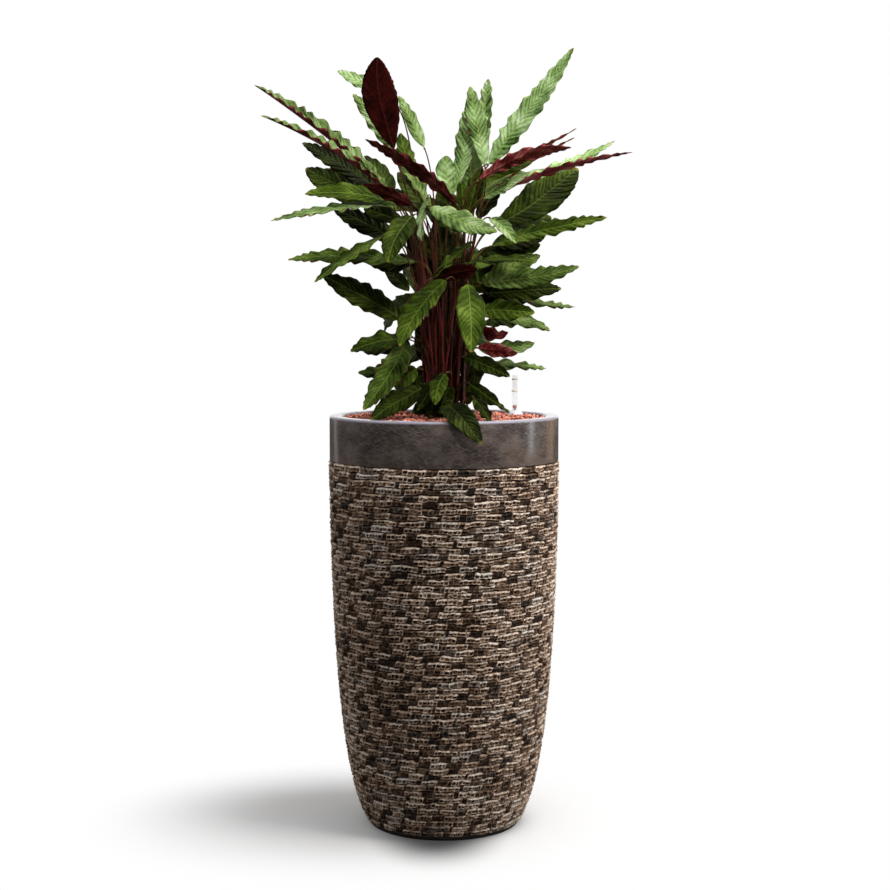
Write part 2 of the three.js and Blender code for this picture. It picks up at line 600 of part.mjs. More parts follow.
function stalk(curve) {
  const points = [];
  const steps = stalkSteps;
  const reference = new THREE.Vector3(...stalkSeam).normalize();
  for (let step = 0; step <= steps; step += 1) {
    const share = step / steps;
    const place = curve.getPoint(share);
    const tangent = curve.getTangent(share);
    const side = tangent.clone().cross(reference).normalize();
    const other = side.clone().cross(tangent).normalize();
    const radius = stalkFootRadius + (stalkTopRadius - stalkFootRadius) * share;
    for (let corner = 0; corner < stalkSides; corner += 1) {
      const angle = (corner / stalkSides) * 2 * Math.PI;
      const point = place.clone().addScaledVector(side, radius * Math.cos(angle));
      points.push(point.addScaledVector(other, radius * Math.sin(angle)).toArray());
    }
  }
  const triangles = [];
  for (let step = 0; step < steps; step += 1) {
    for (let corner = 0; corner < stalkSides; corner += 1) {
      const next = (corner + 1) % stalkSides;
      const here = step * stalkSides;
      const above = here + stalkSides;
      triangles.push([here + corner, above + corner, above + next]);
      triangles.push([here + corner, above + next, here + next]);
    }
  }
  const end = steps * stalkSides;
  for (let corner = 1; corner < stalkSides - 1; corner += 1) {
    triangles.push([0, corner, corner + 1]);
    triangles.push([end, end + corner + 1, end + corner]);
  }
  return toSolid(fromTriangles(points, triangles));
}

function crown() {
  return toSolid(turned([
    [0, crownFoot], [crownRadius, crownFoot], [crownRadius, surfaceHeight - crownRimDrop],
    crownShoulder, [0, crownTop],
  ], crownSteps));
}

const shapes = leaves.map(leafShape);
const bladeSolids = shapes.map(blade);
const nodeNames = [...new Set(shapes.map((shape) => shape.node))];
const firstShapes = nodeNames.map((name) => shapes.find((shape) => shape.node === name));
const stalkSolids = firstShapes.map((shape, order) => stalk(stalkCurve(shape, order)));

addMesh('planter_body', planterBody(), materials.stone);
addMesh('rim_band', rimBand(), materials.band);
addMesh('liner', liner(), materials.darkPlastic);
addMesh('granules_outer', granulesOuter(), materials.clay);
addMesh('culture_pot', culturePot(), materials.darkPlastic);
addMesh('granules_inner', granulesInner(), materials.clay);
addMesh('gauge_sleeve', gaugeSleeve(), materials.clear);
addMesh('gauge_foot', gaugeFoot(), materials.greyPlastic);
addMesh('gauge_float', gaugeFloat(), materials.redPlastic);

const stalks = stalkSolids.reduce((sum, solid) => sum.add(solid), crown());
addMesh('leaf_stalks', toGeometry(stalks), materials.stalk);

for (const name of nodeNames) {
  const members = shapes.map((shape, index) => index).filter((index) => shapes[index].node === name);
  const solid = members.map((index) => bladeSolids[index]).reduce((sum, part) => sum.add(part));
  addMesh(name, toGeometry(solid), shapes[members[0]].facing < 0 ? materials.blush : materials.blade);
}

export default plant;
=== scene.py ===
import math

import bpy
import numpy as np
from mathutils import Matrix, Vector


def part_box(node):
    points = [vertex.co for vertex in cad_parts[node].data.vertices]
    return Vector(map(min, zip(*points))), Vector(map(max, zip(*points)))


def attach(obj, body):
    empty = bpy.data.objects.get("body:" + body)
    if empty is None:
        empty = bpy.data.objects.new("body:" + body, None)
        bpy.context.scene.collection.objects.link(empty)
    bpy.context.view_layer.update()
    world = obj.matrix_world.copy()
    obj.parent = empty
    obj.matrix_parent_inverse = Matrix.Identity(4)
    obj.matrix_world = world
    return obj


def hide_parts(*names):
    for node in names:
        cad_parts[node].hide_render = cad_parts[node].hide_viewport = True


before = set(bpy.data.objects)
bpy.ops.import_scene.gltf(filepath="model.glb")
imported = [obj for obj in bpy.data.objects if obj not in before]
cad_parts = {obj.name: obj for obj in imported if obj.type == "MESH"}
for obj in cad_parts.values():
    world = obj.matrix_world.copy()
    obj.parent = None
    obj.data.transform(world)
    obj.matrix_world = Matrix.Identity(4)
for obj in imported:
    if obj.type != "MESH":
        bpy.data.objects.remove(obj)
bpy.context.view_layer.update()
print("frame:", len(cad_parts), "nodes")

millimetre = 0.001
noiseLimits = (0.3, 0.7)      # nearly all of a noise lies between these


# Camera, light and floor

studio = {
    "cameraPlace": (0.0017, -2.970, 0.896),
    "cameraPitch": 4.406,         # degrees below the horizon
    "cameraLens": 68.76,          # millimetres, as the sensor's width
    "sensorWidth": 36,
    "cameraFar": 100,
    "skyFront": 0.24,             # how bright the room is on the camera's side
    "skyBehind": 1.00,            # what its far side adds
    "behindTurn": (0.84, 0.99),
    "skyAbove": 0.38,             # what its ceiling adds
    "aboveTurn": (0.30, 0.90),
    # Each area light's place, width, height, power and colour.
    "lights": {
        "key": ((0.98, -0.32, 3.95), 1.7, 1.7, 80, (1, 1, 1)),
        "side": ((2.37, -1.15, 2.30), 1.1, 1.1, 34, (1, 0.98, 0.95)),
        "rightStrip": ((2.6, 0.15, 0.95), 0.22, 1.5, 9, (0.93, 0.95, 1.0)),
        "leftStrip": ((-1.9, 1.9, 0.95), 0.30, 1.6, 1.5, (1.0, 0.86, 0.80)),
        "warmStrip": ((2.0, 1.6, 0.95), 0.80, 1.5, 3.5, (1.0, 0.66, 0.40)),
    },
    "aim": (0, 0, 0.8),
    "spotPlace": (0.38, -2.65, 2.50),   # a spotlight on the leaves alone
    "spotAim": (0.03, 0, 1.115),
    "spotPower": 235,
    "spotAngle": 18.5,                  # degrees across the cone
    "spotBlend": 0.30,
    "spotSize": 0.16,
    "floorReach": 30,
    "floorWhite": (0.90, 0.90, 0.90, 1),
    "floorGrey": (0.14, 0.14, 0.14, 1),     # what the floor sheds back on the planter
    "paintedShadowMiddle": (-0.01, -0.10, 0.0),
    "paintedShadowStretch": (1.7, 1.0, 1.0),
    "paintedShadowReach": (0.04, 0.22),           # where the painted contact shadow under the pot fades out
    "paintedShadowTone": (0.02, 0.02, 0.02, 1),
    # painted light: the least share of white glow on the floor, which lifts even the shadow
    "leastGlowInShadow": 0.06,
    "shadowMiddle": (-0.10, 0.0, 0.0),
    "shadowStretch": (1.0, 1.35, 1.0),
    "shadowReach": (0.21, 0.56),            # the floor turns to plain white between these distances
}


def makeCamera():
    data = bpy.data.cameras.new("camera")
    data.sensor_width = studio["sensorWidth"]
    data.lens = studio["cameraLens"]
    data.clip_end = studio["cameraFar"]
    camera = bpy.data.objects.new("camera", data)
    camera.location = studio["cameraPlace"]
    camera.rotation_euler = (math.radians(90 - studio["cameraPitch"]), 0, 0)
    bpy.context.scene.collection.objects.link(camera)
    bpy.context.scene.camera = camera


def addAreaLight(name, place, width, height, power, colour):
    data = bpy.data.lights.new(name, "AREA")
    data.shape = "RECTANGLE"
    data.size = width
    data.size_y = height
    data.energy = power
    data.color = colour
    light = bpy.data.objects.new(name, data)
    light.location = place
    turnTo(light, studio["aim"])


def turnTo(light, target):
    away = np.array(light.location) - np.array(target)
    flat = math.hypot(away[0], away[1])
    light.rotation_euler = (math.atan2(flat, away[2]), 0, math.atan2(away[0], -away[1]))
    bpy.context.scene.collection.objects.link(light)


def addSpot():
    data = bpy.data.lights.new("leafSpot", "SPOT")
    data.energy = studio["spotPower"]
    data.spot_size = math.radians(studio["spotAngle"])
    data.spot_blend = studio["spotBlend"]
    data.shadow_soft_size = studio["spotSize"]
    light = bpy.data.objects.new("leafSpot", data)
    light.location = studio["spotPlace"]
    turnTo(light, studio["spotAim"])


def makeLight():
    world = bpy.data.worlds.new("whiteRoom")
    bpy.context.scene.world = world
    world.use_nodes = True
    tree = world.node_tree
    white = (1, 1, 1, 1)
    tree.nodes["Background"].inputs["Color"].default_value = white
    direction = addNode(tree, "SeparateXYZ", {0: addNode(tree, "TexCoord").outputs["Generated"]}).outputs
    behind = between(tree, direction[1], *studio["behindTurn"], 0.0, studio["skyBehind"])
    above = between(tree, direction[2], *studio["aboveTurn"], 0.0, studio["skyAbove"])
    strength = maths(tree, "ADD", maths(tree, "ADD", behind, above), studio["skyFront"])
    lit = addNode(tree, "Background", {"Color": white, "Strength": strength}).outputs[0]
    seen = addNode(tree, "LightPath").outputs["Is Camera Ray"]
    mix = addNode(tree, "MixShader", {0: seen, 1: lit, 2: tree.nodes["Background"].outputs[0]})
    tree.links.new(mix.outputs[0], tree.nodes["World Output"].inputs["Surface"])
    bpy.context.scene.view_settings.view_transform = "Standard"
    for name, (place, width, height, power, colour) in studio["lights"].items():
        addAreaLight(name, place, width, height, power, colour)
    addSpot()
    print("lights:", len(studio["lights"]) + 1)


# Meshes and materials

def closedGrid(rows, columns):
    # Quads of a grid of points that runs round in its columns: each joins a point to the next in its row
    # and to the two above them.
    index = np.arange(rows * columns).reshape(rows, columns)
    near, far = index[:-1], index[1:]
    return np.stack([near, np.roll(near, -1, axis=1), np.roll(far, -1, axis=1), far], axis=-1).reshape(-1, 4)


def makePiece(name, points, faces, materials, faceMaterial=None, values=None, smooth=True):
    # Puts points and faces (arrays of quads or triangles) into one mesh, with its values by point.
    mesh = bpy.data.meshes.new(name)
    mesh.from_pydata(points.tolist(), [], [face for part in faces for face in part.tolist()])
    for material in materials:
        mesh.materials.append(material)
    if faceMaterial is not None:
        mesh.polygons.foreach_set("material_index", faceMaterial.astype(np.int32))
    mesh.polygons.foreach_set("use_smooth", np.full(len(mesh.polygons), smooth))
    for key, value in (values or {}).items():
        stored = mesh.attributes.new(key, "FLOAT", "POINT")
        stored.data.foreach_set("value", value.astype(np.float32).ravel())
    mesh.update()
    piece = bpy.data.objects.new(name, mesh)
    bpy.context.scene.collection.objects.link(piece)
    return piece


def settle(piece, slot, *nodes):
    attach(piece, "root")
    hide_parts(*nodes)


def revolve(profile, steps):
    # A profile of (radius, height) turned about +Z: x = radius cos(angle), y = radius sin(angle). A profile
    # that starts and ends on the axis closes in two poles, and any other closes on itself.
    profile = np.array(profile, float)
    onAxis = profile[0, 0] == 0 and profile[-1, 0] == 0
    rings = profile[1:-1] if onAxis else profile
    angle = np.linspace(0, 2 * math.pi, steps, endpoint=False)
    x = rings[:, :1] * np.cos(angle)
    y = rings[:, :1] * np.sin(angle)
    z = np.repeat(rings[:, 1:], steps, axis=1)
    points = np.stack([x, y, z], axis=-1).reshape(-1, 3)
    quads = closedGrid(len(rings), steps)
    step = np.arange(steps)
    after = np.roll(step, -1)
    last = (len(rings) - 1) * steps
    if not onAxis:
        return points, [quads, np.stack([last + step, last + after, after, step], axis=-1)]
    low, high = len(points), len(points) + 1
    points = np.vstack([points, [0, 0, profile[0, 1]], [0, 0, profile[-1, 1]]])
    foot = np.stack([np.full(steps, low), after, step], axis=-1)
    top = np.stack([last + step, last + after, np.full(steps, high)], axis=-1)
    return points, [quads, foot, top]


def addNode(tree, kind, inputs=None, **settings):
    made = tree.nodes.new("ShaderNode" + kind)
    for key, value in settings.items():
        setattr(made, key, value)
    for key, value in (inputs or {}).items():
        if isinstance(value, bpy.types.NodeSocket):
            tree.links.new(value, made.inputs[key])
        else:
            made.inputs[key].default_value = value
    return made


def startMaterial(name, **fixed):
    # A material with its shader's steady values set on their own sockets.
    material = bpy.data.materials.new(name)
    material.use_nodes = True
    tree = material.node_tree
    shader = tree.nodes["Principled BSDF"]
    for key, value in fixed.items():
        shader.inputs[key.replace("_", " ")].default_value = value
    return material, tree, shader


def byAttribute(tree, key):
    return addNode(tree, "Attribute", attribute_name=key).outputs["Fac"]


def maths(tree, operation, first, second=0.0, third=0.0):
    return addNode(tree, "Math", {0: first, 1: second, 2: third}, operation=operation).outputs[0]


def between(tree, value, low, high, toLow=0.0, toHigh=1.0):
    # Value run from low to high, eased, and mapped from toLow to toHigh.
    made = addNode(tree, "MapRange", {"Value": value, "From Min": low, "From Max": high,
                                      "To Min": toLow, "To Max": toHigh}, interpolation_type="SMOOTHSTEP")
    return made.outputs["Result"]


def spread(tree, value, toLow, toHigh):
    return between(tree, value, *noiseLimits, toLow, toHigh)


def noise(tree, scale, detail=3, stretch=(1, 1, 1), roughness=0.55, turn=(0, 0, 0)):
    # A texture mapping turns first and then divides by its scale.
    place = addNode(tree, "TexCoord").outputs["Object"]
    inverse = tuple(1 / part for part in stretch)
    mapped = addNode(tree, "Mapping", {"Vector": place, "Rotation": turn, "Scale": inverse},
                     vector_type="TEXTURE").outputs[0]
    return addNode(tree, "TexNoise", {"Vector": mapped, "Scale": scale, "Detail": detail,
                                      "Roughness": roughness}).outputs["Fac"]


def mixed(tree, share, first, second, kind="MIX"):
    made = addNode(tree, "Mix", {0: share, 6: first, 7: second}, data_type="RGBA", blend_type=kind)
    return made.outputs[2]


def ramp(tree, value, stops):
    made = addNode(tree, "ValToRGB", {0: value})
    elements = made.color_ramp.elements
    while len(elements) < len(stops):
        elements.new(0.5)
    for element, (place, colour) in zip(elements, stops):
        element.position = place
        element.color = (*colour, 1)
    return made.outputs["Color"]


def setBump(tree, shader, height, strength, distance):
    made = addNode(tree, "Bump", {"Height": height, "Strength": strength, "Distance": distance})
    tree.links.new(made.outputs[0], shader.inputs["Normal"])


# Stone courses

rimLow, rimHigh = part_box("rim_band")
bandFoot, rimTop, rimRadius = rimLow.z, rimHigh.z, rimHigh.x

planter = {
    "outline": [(0.136, 0.008), (0.182, 0.090), (0.196, 0.330), (0.200, 0.642)],   # radius, height
    "curvePoints": 400,
    "footRadius": 0.132,
    # The foot's profile: how far it lies outside that radius, and its height.
    "footProfile": [(-0.0015, 0.0), (0.0, 0.0012), (0.0022, 0.0066), (0.0010, 0.0080)],
    "wall": 0.014,
    "floor": 0.012,
    "behind": 0.0042,       # how far the shell lies behind the stones
    "shellFrom": 0.004,     # above the lowest course's foot
    "shellGap": 0.0008,     # below the rim band
    "shellRows": 24,
    "innerHeights": [0.642, 0.400, 0.220, 0.110, 0.012],
    "steps": 144,
    "cloud": {"scale": 30, "detail": 4},
    "resinTones": [(0.3, (0.012, 0.010, 0.008)), (0.7, (0.040, 0.032, 0.026))],
    "bump": (0.3, 0.001),   # strength, distance
}

stones = {
    "seed": 29,
    "courses": 59,
    "cells": 154,                    # round one course
    "together": 7,                   # cells in a tan run and a dark one together
    "darkRun": (1, 4),               # cells in a dark run, up to but without the last value
    "stagger": 0.5,                  # how far a course's runs start after those below, as a share
    "staggerDrift": 0.22,
    "tanLength": (5.0, 9.0),
    "darkLength": (6.0, 13.0),
    "edge": 0.0016,                  # half the thickness of the wall between two hollows
    "mostEdge": 0.3,                 # and its most, as a share of a cell
    # Heights in a course: its lower limit, lower ridge, hollows from and to, upper ridge from and to, limit.
    "rows": (0.0, 0.0014, 0.0033, 0.0056, 0.0075, 0.0093, 0.0107),
    "ridgeProud": (0.0002, 0.0029),
    "darkRidgeProud": (-0.0012, 0.0008),
    "ridgeFall": 0.0010,             # from a ridge's lower edge back to its upper one
    "wallProud": (-0.0002, 0.0020),
    "hollow": (-0.0020, -0.0006),
    "darkHollow": (-0.0022, -0.0004),
    "gap": -0.0040,
    "slant": (0.0004, 0.0026),
    "wobble": 0.0019,                # how far a course's limits rise and fall
    "wobbleCounts": (7, 13, 23, 41, 67),              # waves round the planter, and the weight of each
    "wobbleWeights": (0.48, 0.42, 0.32, 0.22, 0.16),
    "jitter": 0.0007,
    "cellShift": 0.0007,             # how far a cell sits off its course's middle
    "runShift": 0.0006,
    "topGap": 0.0005,                # below the rim band
    "greyRuns": 0.18,                # share of the runs that are grey, not tan
    # How light each part is, from and to, with painted shade dark in the hollows and black painted shadow in
    # the gaps between courses. A share of the draw is common to a run, another to a cell.
    "shared": (0.40, 0.35),
    "ridgeShade": (0.34, 1.12),
    "lowRidgePaintedShare": 0.72,           # painted shade: a lower ridge's shade, as a share of the upper one's
    "wallShade": (0.26, 0.95),
    "hollowPaintedShade": (0.02, 0.42),
    "darkRidgeShade": (0.05, 0.52),
    "darkShade": (0.02, 0.26),
    "tan": [(0.0, (0.008, 0.0035, 0.0018)), (0.18, (0.045, 0.026, 0.017)), (0.42, (0.310, 0.198, 0.130)),
            (0.70, (0.700, 0.525, 0.395)), (1.0, (0.970, 0.840, 0.720))],
    "grey": [(0.0, (0.008, 0.0040, 0.0025)), (0.18, (0.045, 0.030, 0.022)), (0.42, (0.285, 0.213, 0.165)),
             (0.70, (0.660, 0.550, 0.455)), (1.0, (0.960, 0.870, 0.780))],
    "patches": {"scale": 9, "detail": 3, "stretch": (1, 1, 1.6)},
    "mottle": {"scale": 150, "detail": 4},
    "grain": {"scale": 520, "detail": 3},
    "drift": {"scale": 14, "detail": 2},
    "patchWear": (0.30, 0.68, 0.88, 1.28),
    "mottleWear": (0.62, 1.30),
    "grainShade": (-0.07, 0.07),
    "driftWarmth": (0.35, 0.65, -0.3, 0.3),
    "warmFrom": (0.2, 0.7),
    "bump": (0.6, 0.0012),
}


def bodyRadius(height):
    # The planter's radius at a height, from a cubic curve through its four control points.
    t = np.linspace(0, 1, planter["curvePoints"])[:, None]
    a, b, c, d = np.array(planter["outline"])
    curve = a * (1 - t) ** 3 + 3 * b * t * (1 - t) ** 2 + 3 * c * t ** 2 * (1 - t) + d * t ** 3
    return np.interp(height, curve[:, 1], curve[:, 0])


def wobbler(seed, lines):
    # Gives a function of (angle, line): a sum of waves round the planter, about -1 to 1 in all, each with its
    # own random phase for each line.
    counts, weights = np.array(stones["wobbleCounts"]), np.array(stones["wobbleWeights"])
    phase = np.random.default_rng(seed).uniform(0, 2 * math.pi, (lines, len(counts)))

    def wobble(angle, line):
        return (np.sin(counts * angle[..., None] + phase[line][:, None, :]) * weights).sum(axis=-1)
    return wobble


def ranged(value, low, high):
    return low + (high - low) * np.clip(value, 0, 1)


def stoneRuns(random):
    # Each course is divided into runs, in turn tan and dark: the number of the run that each cell lies in.
    courses, cells = stones["courses"], stones["cells"]
    dark = random.integers(*stones["darkRun"], (courses, cells // stones["together"]))
    counts = np.stack([stones["together"] - dark, dark], axis=2)
    ends = np.cumsum(counts.reshape(courses, -1), axis=1)
    return (ends[:, None, :] <= np.arange(cells)[None, :, None]).sum(axis=2)


def stoneArrays():
    # Every course is a ring of rows, from its lower limit deep in the gap to its upper one. Each cell has
    # three columns: a raised wall and the two sides of its hollow. Point = (radius cos angle, radius sin
    # angle, height), with radius = the outline's + how far it stands out.
    random = np.random.default_rng(stones["seed"])
    run = stoneRuns(random)
    shape = run.shape
    courses = stones["courses"]
    dark = run % 2 == 1
    length = np.where(dark, random.uniform(*stones["darkLength"], shape),
                      random.uniform(*stones["tanLength"], shape))
    turn = 2 * math.pi / length.sum(axis=1, keepdims=True)
    steps = stones["stagger"] + random.uniform(-1, 1, (courses, 1)) * stones["staggerDrift"]
    start = (np.cumsum(length, axis=1) - length) * turn
    start = start + np.cumsum(steps, axis=0) * 2 * math.pi * stones["together"] / stones["cells"]
    lines = np.linspace(planter["outline"][0][1], bandFoot - stones["topGap"], courses + 1)
    around = bodyRadius((lines[1:] + lines[:-1]) / 2)[:, None]
    edge = np.minimum(stones["edge"] / around, stones["mostEdge"] * length * turn)
    angle = np.stack([start, start + edge, start + length * turn - edge], axis=2).reshape(courses, -1)

    def byRun():
        return np.take_along_axis(random.random((courses, run.max() + 1)), run, axis=1)

    def thrice(values):
        return np.repeat(values, 3, axis=1)

    def signed(values):
        return 2 * values - 1

    slant = thrice(ranged(byRun(), *stones["slant"])) / around
    warmth = byRun() > stones["greyRuns"]
    shift = signed(byRun()) * stones["runShift"] + signed(random.random(shape)) * stones["cellShift"]
    course = np.arange(courses)
    isFree = np.concatenate([[0], np.ones(courses - 1), [0]])[:, None]
    lift = wobbler(stones["seed"] + 1, courses + 1)
    lowLine = lines[:-1, None] + stones["wobble"] * isFree[:-1] * lift(angle, course)
    highLine = lines[1:, None] + stones["wobble"] * isFree[1:] * lift(angle, course + 1)
    share = (np.array(stones["rows"]) / stones["rows"][-1])[None, :, None]
    jitter = signed(random.random((courses, share.size, angle.shape[1]))) * stones["jitter"]
    jitter = jitter + thrice(shift)[:, None]
    jitter[:, [0, -1]] = 0
    height = lowLine[:, None] * (1 - share) + highLine[:, None] * share + jitter
    angles = angle[:, None] + slant[:, None] * (2 * share - 1)

    columnDark = thrice(dark)
    columnDark[:, 0::3] = dark & np.roll(dark, 1, axis=1)

    def drawn(light, darker, value, isDark=columnDark):
        return np.where(isDark, ranged(value, *stones[darker]), ranged(value, *stones[light]))

    def inCell(walls, hollows):
        return np.stack([walls, hollows, hollows], axis=2).reshape(courses, -1)

    gap = np.full(angle.shape, stones["gap"])
    low, high = (drawn("ridgeProud", "darkRidgeProud", part) for part in random.random((2, *angle.shape)))
    inside = inCell(ranged(random.random(shape), *stones["wallProud"]),
                    drawn("hollow", "darkHollow", random.random(shape), dark))
    out = np.stack([gap, low, inside, inside, high, high - stones["ridgeFall"], gap], axis=1)
    radius = bodyRadius(height) + out
    points = np.stack([radius * np.cos(angles), radius * np.sin(angles), height], axis=-1)

    byRunShare, byCellShare = stones["shared"]
    common = byRun() * byRunShare + random.random(shape) * byCellShare
    own = 1 - byRunShare - byCellShare
    low, inner, outer = (drawn("ridgeShade", "darkRidgeShade", thrice(common) + own * part)
                         for part in random.random((3, *angle.shape)))
    wall = drawn("wallShade", "darkRidgeShade", common + own * random.random(shape), columnDark[:, 0::3])
    inside = inCell(wall, drawn("hollowPaintedShade", "darkShade", random.random(shape), dark))
    # Painted shade: black in the gaps between courses, dark in the hollows and dimmer on the lower ridge than
    # the upper.
    shade = np.stack([gap * 0, low * stones["lowRidgePaintedShare"], inside, inside, inner, outer, gap * 0], axis=1)
    warmth = np.repeat(thrice(warmth.astype(float))[:, None], share.size, axis=1)
    return points, shade.clip(0, 1), warmth


def stoneCourses(name, arrays, first, last, material):
    points, shade, warmth = (part[first:last] for part in arrays)
    index = np.arange(points[..., 0].size).reshape(points.shape[:3])
    above = np.roll(index, -1, axis=1)
    quads = np.stack([index, np.roll(index, -1, axis=2), np.roll(above, -1, axis=2), above], axis=-1)
    piece = makePiece(name, points.reshape(-1, 3), [quads.reshape(-1, 4)], [material],
                      values={"shade": shade, "warmth": warmth}, smooth=False)
    settle(piece, "stone_courses", "planter_body")


def stoneMaterial():
    material, tree, shader = startMaterial("tanAndDarkStone", Roughness=0.60, Specular_IOR_Level=0.15)
    mottle = noise(tree, **stones["mottle"])
    worn = between(tree, noise(tree, **stones["patches"]), *stones["patchWear"])
    worn = maths(tree, "MULTIPLY", worn, spread(tree, mottle, *stones["mottleWear"]))
    shade = maths(tree, "MULTIPLY", byAttribute(tree, "shade"), worn)
    shade = maths(tree, "ADD", shade, spread(tree, noise(tree, **stones["grain"]), *stones["grainShade"]))
    drift = between(tree, noise(tree, **stones["drift"]), *stones["driftWarmth"])
    warmth = between(tree, maths(tree, "ADD", byAttribute(tree, "warmth"), drift), *stones["warmFrom"])
    colour = mixed(tree, warmth, ramp(tree, shade, stones["grey"]), ramp(tree, shade, stones["tan"]))
    tree.links.new(colour, shader.inputs["Base Color"])
    setBump(tree, shader, mottle, *stones["bump"])
    return material


def planterShell(material):
    # The wall behind the stones: out over the foot, up the outside at the outline's radius, over the top and
    # down inside.
    base = planter["outline"][0][1]
    heights = np.linspace(base + planter["shellFrom"], bandFoot - planter["shellGap"], planter["shellRows"])
    foot = [(planter["footRadius"] + out, z) for out, z in planter["footProfile"]]
    outer = [(bodyRadius(z) - planter["behind"], z) for z in heights]
    inner = [(bodyRadius(max(z, base)) - planter["wall"], z) for z in planter["innerHeights"]]
    profile = [(0, 0), *foot, *outer, *inner, (0, planter["floor"])]
    piece = makePiece("planter_shell", *revolve(profile, planter["steps"]), [material])
    settle(piece, "stone_courses", "planter_body")


def shellMaterial():
    material, tree, shader = startMaterial("darkResin", Roughness=0.5)
    cloud = noise(tree, **planter["cloud"])
    tree.links.new(ramp(tree, cloud, planter["resinTones"]), shader.inputs["Base Color"])
    setBump(tree, shader, cloud, *planter["bump"])
    return material


def makePlanter():
    arrays = stoneArrays()
    stone = stoneMaterial()
    half = stones["courses"] // 2
    stoneCourses("stone_courses_low", arrays, 0, half, stone)
    stoneCourses("stone_courses_high", arrays, half, stones["courses"], stone)
    planterShell(shellMaterial())
    print("planter: stones set in", stones["courses"], "courses")


# Rim band

band = {
    "wall": 0.010,
    "lip": 0.022,
    "lipThickness": 0.008,
    "round": 0.0038,        # radius of the lip's edges
    "footRound": 0.0012,
    "underRound": 0.001,
    "steps": 256,
    "cloud": {"scale": 10, "detail": 3, "stretch": (1, 1, 1.8)},
    "smoke": {"scale": 30, "detail": 5, "stretch": (1, 1, 1.4), "roughness": 0.65},
    "scratches": {"scale": 80, "detail": 4, "stretch": (1, 1, 8), "roughness": 0.65, "turn": (0, 0.42, 0)},
    "crossScratches": {"scale": 60, "detail": 4, "stretch": (1, 1, 8), "roughness": 0.65,
                       "turn": (0, -0.35, 0)},
    "cloudShare": 0.45,     # of the tone, and the rest is smoke
    "tones": [(0.38, (0.026, 0.018, 0.015)), (0.50, (0.075, 0.055, 0.048)), (0.64, (0.190, 0.150, 0.132))],
    # What lies over the tones: from and to which noise value, and its share at each.
    "scratchShare": (0.48, 0.70, 0.0, 0.60),
    "crossShare": (0.48, 0.70, 0.0, 0.40),
    "rustShare": (0.52, 0.70, 0.0, 0.30),
    "scratchTone": (0.26, 0.21, 0.18, 1),
    "rust": (0.20, 0.12, 0.07, 1),
    "lipPaintedHighlight": (0.36, 0.335, 0.395, 1),
    "lipHighlightShare": 0.95,
    "lipHighlightFade": (1.5, 0.5),  # how far below the top the lip's painted highlight sets in, in radii of its edges
    "roughness": (0.35, 0.60),
    "bump": (0.12, 0.001),
}


def arc(centre, radius, first, last, count=5):
    angle = np.radians(np.linspace(first, last, count))
    return np.stack([centre[0] + radius * np.cos(angle), centre[1] + radius * np.sin(angle)], axis=1)


def rimBand(material):
    # A closed profile round the band: up its outside, over the rounded lip and down its inside.
    inner, lip, underLip = rimRadius - band["wall"], rimRadius - band["lip"], rimTop - band["lipThickness"]
    soft, edge, under = band["round"], band["footRound"], band["underRound"]
    profile = np.vstack([
        [(inner, bandFoot)],
        arc((rimRadius - edge, bandFoot + edge), edge, -90, 0, 4),
        arc((rimRadius - soft, rimTop - soft), soft, 0, 90, 6),
        arc((lip + soft, rimTop - soft), soft, 90, 180, 6),
        [(lip, underLip + under), (lip + under, underLip), (inner, underLip)],
    ])
    piece = makePiece("rim_band_glazed", *revolve(profile, band["steps"]), [material])
    settle(piece, "rim_glaze", "rim_band")
    print("rim band done")


def glazeMaterial():
    material, tree, shader = startMaterial("cloudedGlaze", Coat_Weight=1.0, Coat_Roughness=0.20,
                                           Coat_IOR=1.38, Specular_IOR_Level=0.2)
    cloud, smoke = noise(tree, **band["cloud"]), noise(tree, **band["smoke"])
    scratch, cross = noise(tree, **band["scratches"]), noise(tree, **band["crossScratches"])
    tone = maths(tree, "ADD", maths(tree, "MULTIPLY", cloud, band["cloudShare"]),
                 maths(tree, "MULTIPLY", smoke, 1 - band["cloudShare"]))
    base = ramp(tree, tone, band["tones"])
    base = mixed(tree, between(tree, scratch, *band["scratchShare"]), base, band["scratchTone"])
    base = mixed(tree, between(tree, cross, *band["crossShare"]), base, band["scratchTone"])
    base = mixed(tree, between(tree, cloud, *band["rustShare"]), base, band["rust"])
    # Painted highlight: the top of the rounded lip is lighter.
    height = addNode(tree, "SeparateXYZ", {0: addNode(tree, "TexCoord").outputs["Object"]}).outputs[2]
    low, high = (rimTop - band["round"] * part for part in band["lipHighlightFade"])
    base = mixed(tree, between(tree, height, low, high, 0.0, band["lipHighlightShare"]), base, band["lipPaintedHighlight"])
    tree.links.new(base, shader.inputs["Base Color"])
    tree.links.new(spread(tree, smoke, *band["roughness"]), shader.inputs["Roughness"])
    setBump(tree, shader, scratch, *band["bump"])
    return material


# Granules

granules = {
    "seed": 7,
    "spacing": 0.0060,
    "jitter": 0.0016,
    "size": (0.0024, 0.0036),
    "stretch": (0.8, 1.15),
    "surface": 0.7136,
    "rough": 0.0021,
    "uneven": 0.28,          # how far a pebble's corners move, as a share of its size
    "sides": 6,
    "rings": 3,
    "clear": 0.0170,         # round the gauge
    "crownRadius": 0.042,
    "insidePot": 0.0025,     # how far the two layers keep from the pot's wall
    "outsidePot": 0.0015,
    "underLip": 0.0025,
    "shades": (0.1, 1.0),    # a pebble's place on the scale of the tones
    "tones": [(0.0, (0.022, 0.005, 0.003)), (0.33, (0.42, 0.105, 0.064)), (0.62, (0.90, 0.295, 0.190)),
              (1.0, (1.00, 0.520, 0.380))],
    "footPaintedShade": 0.42,        # painted shade: how much darker its foot is, on the same scale
    # painted shade: the bed below the pebbles is darkened to near black
    "bedPaintedShade": (0.05, 0.04, 0.035, 1),
    "grain": {"scale": 900, "detail": 3},
    "patches": {"scale": 60, "detail": 2},
    "grainShade": (-0.25, 0.25),
    "patchShade": (-0.12, 0.12),
    "bump": (0.5, 0.0006),
}


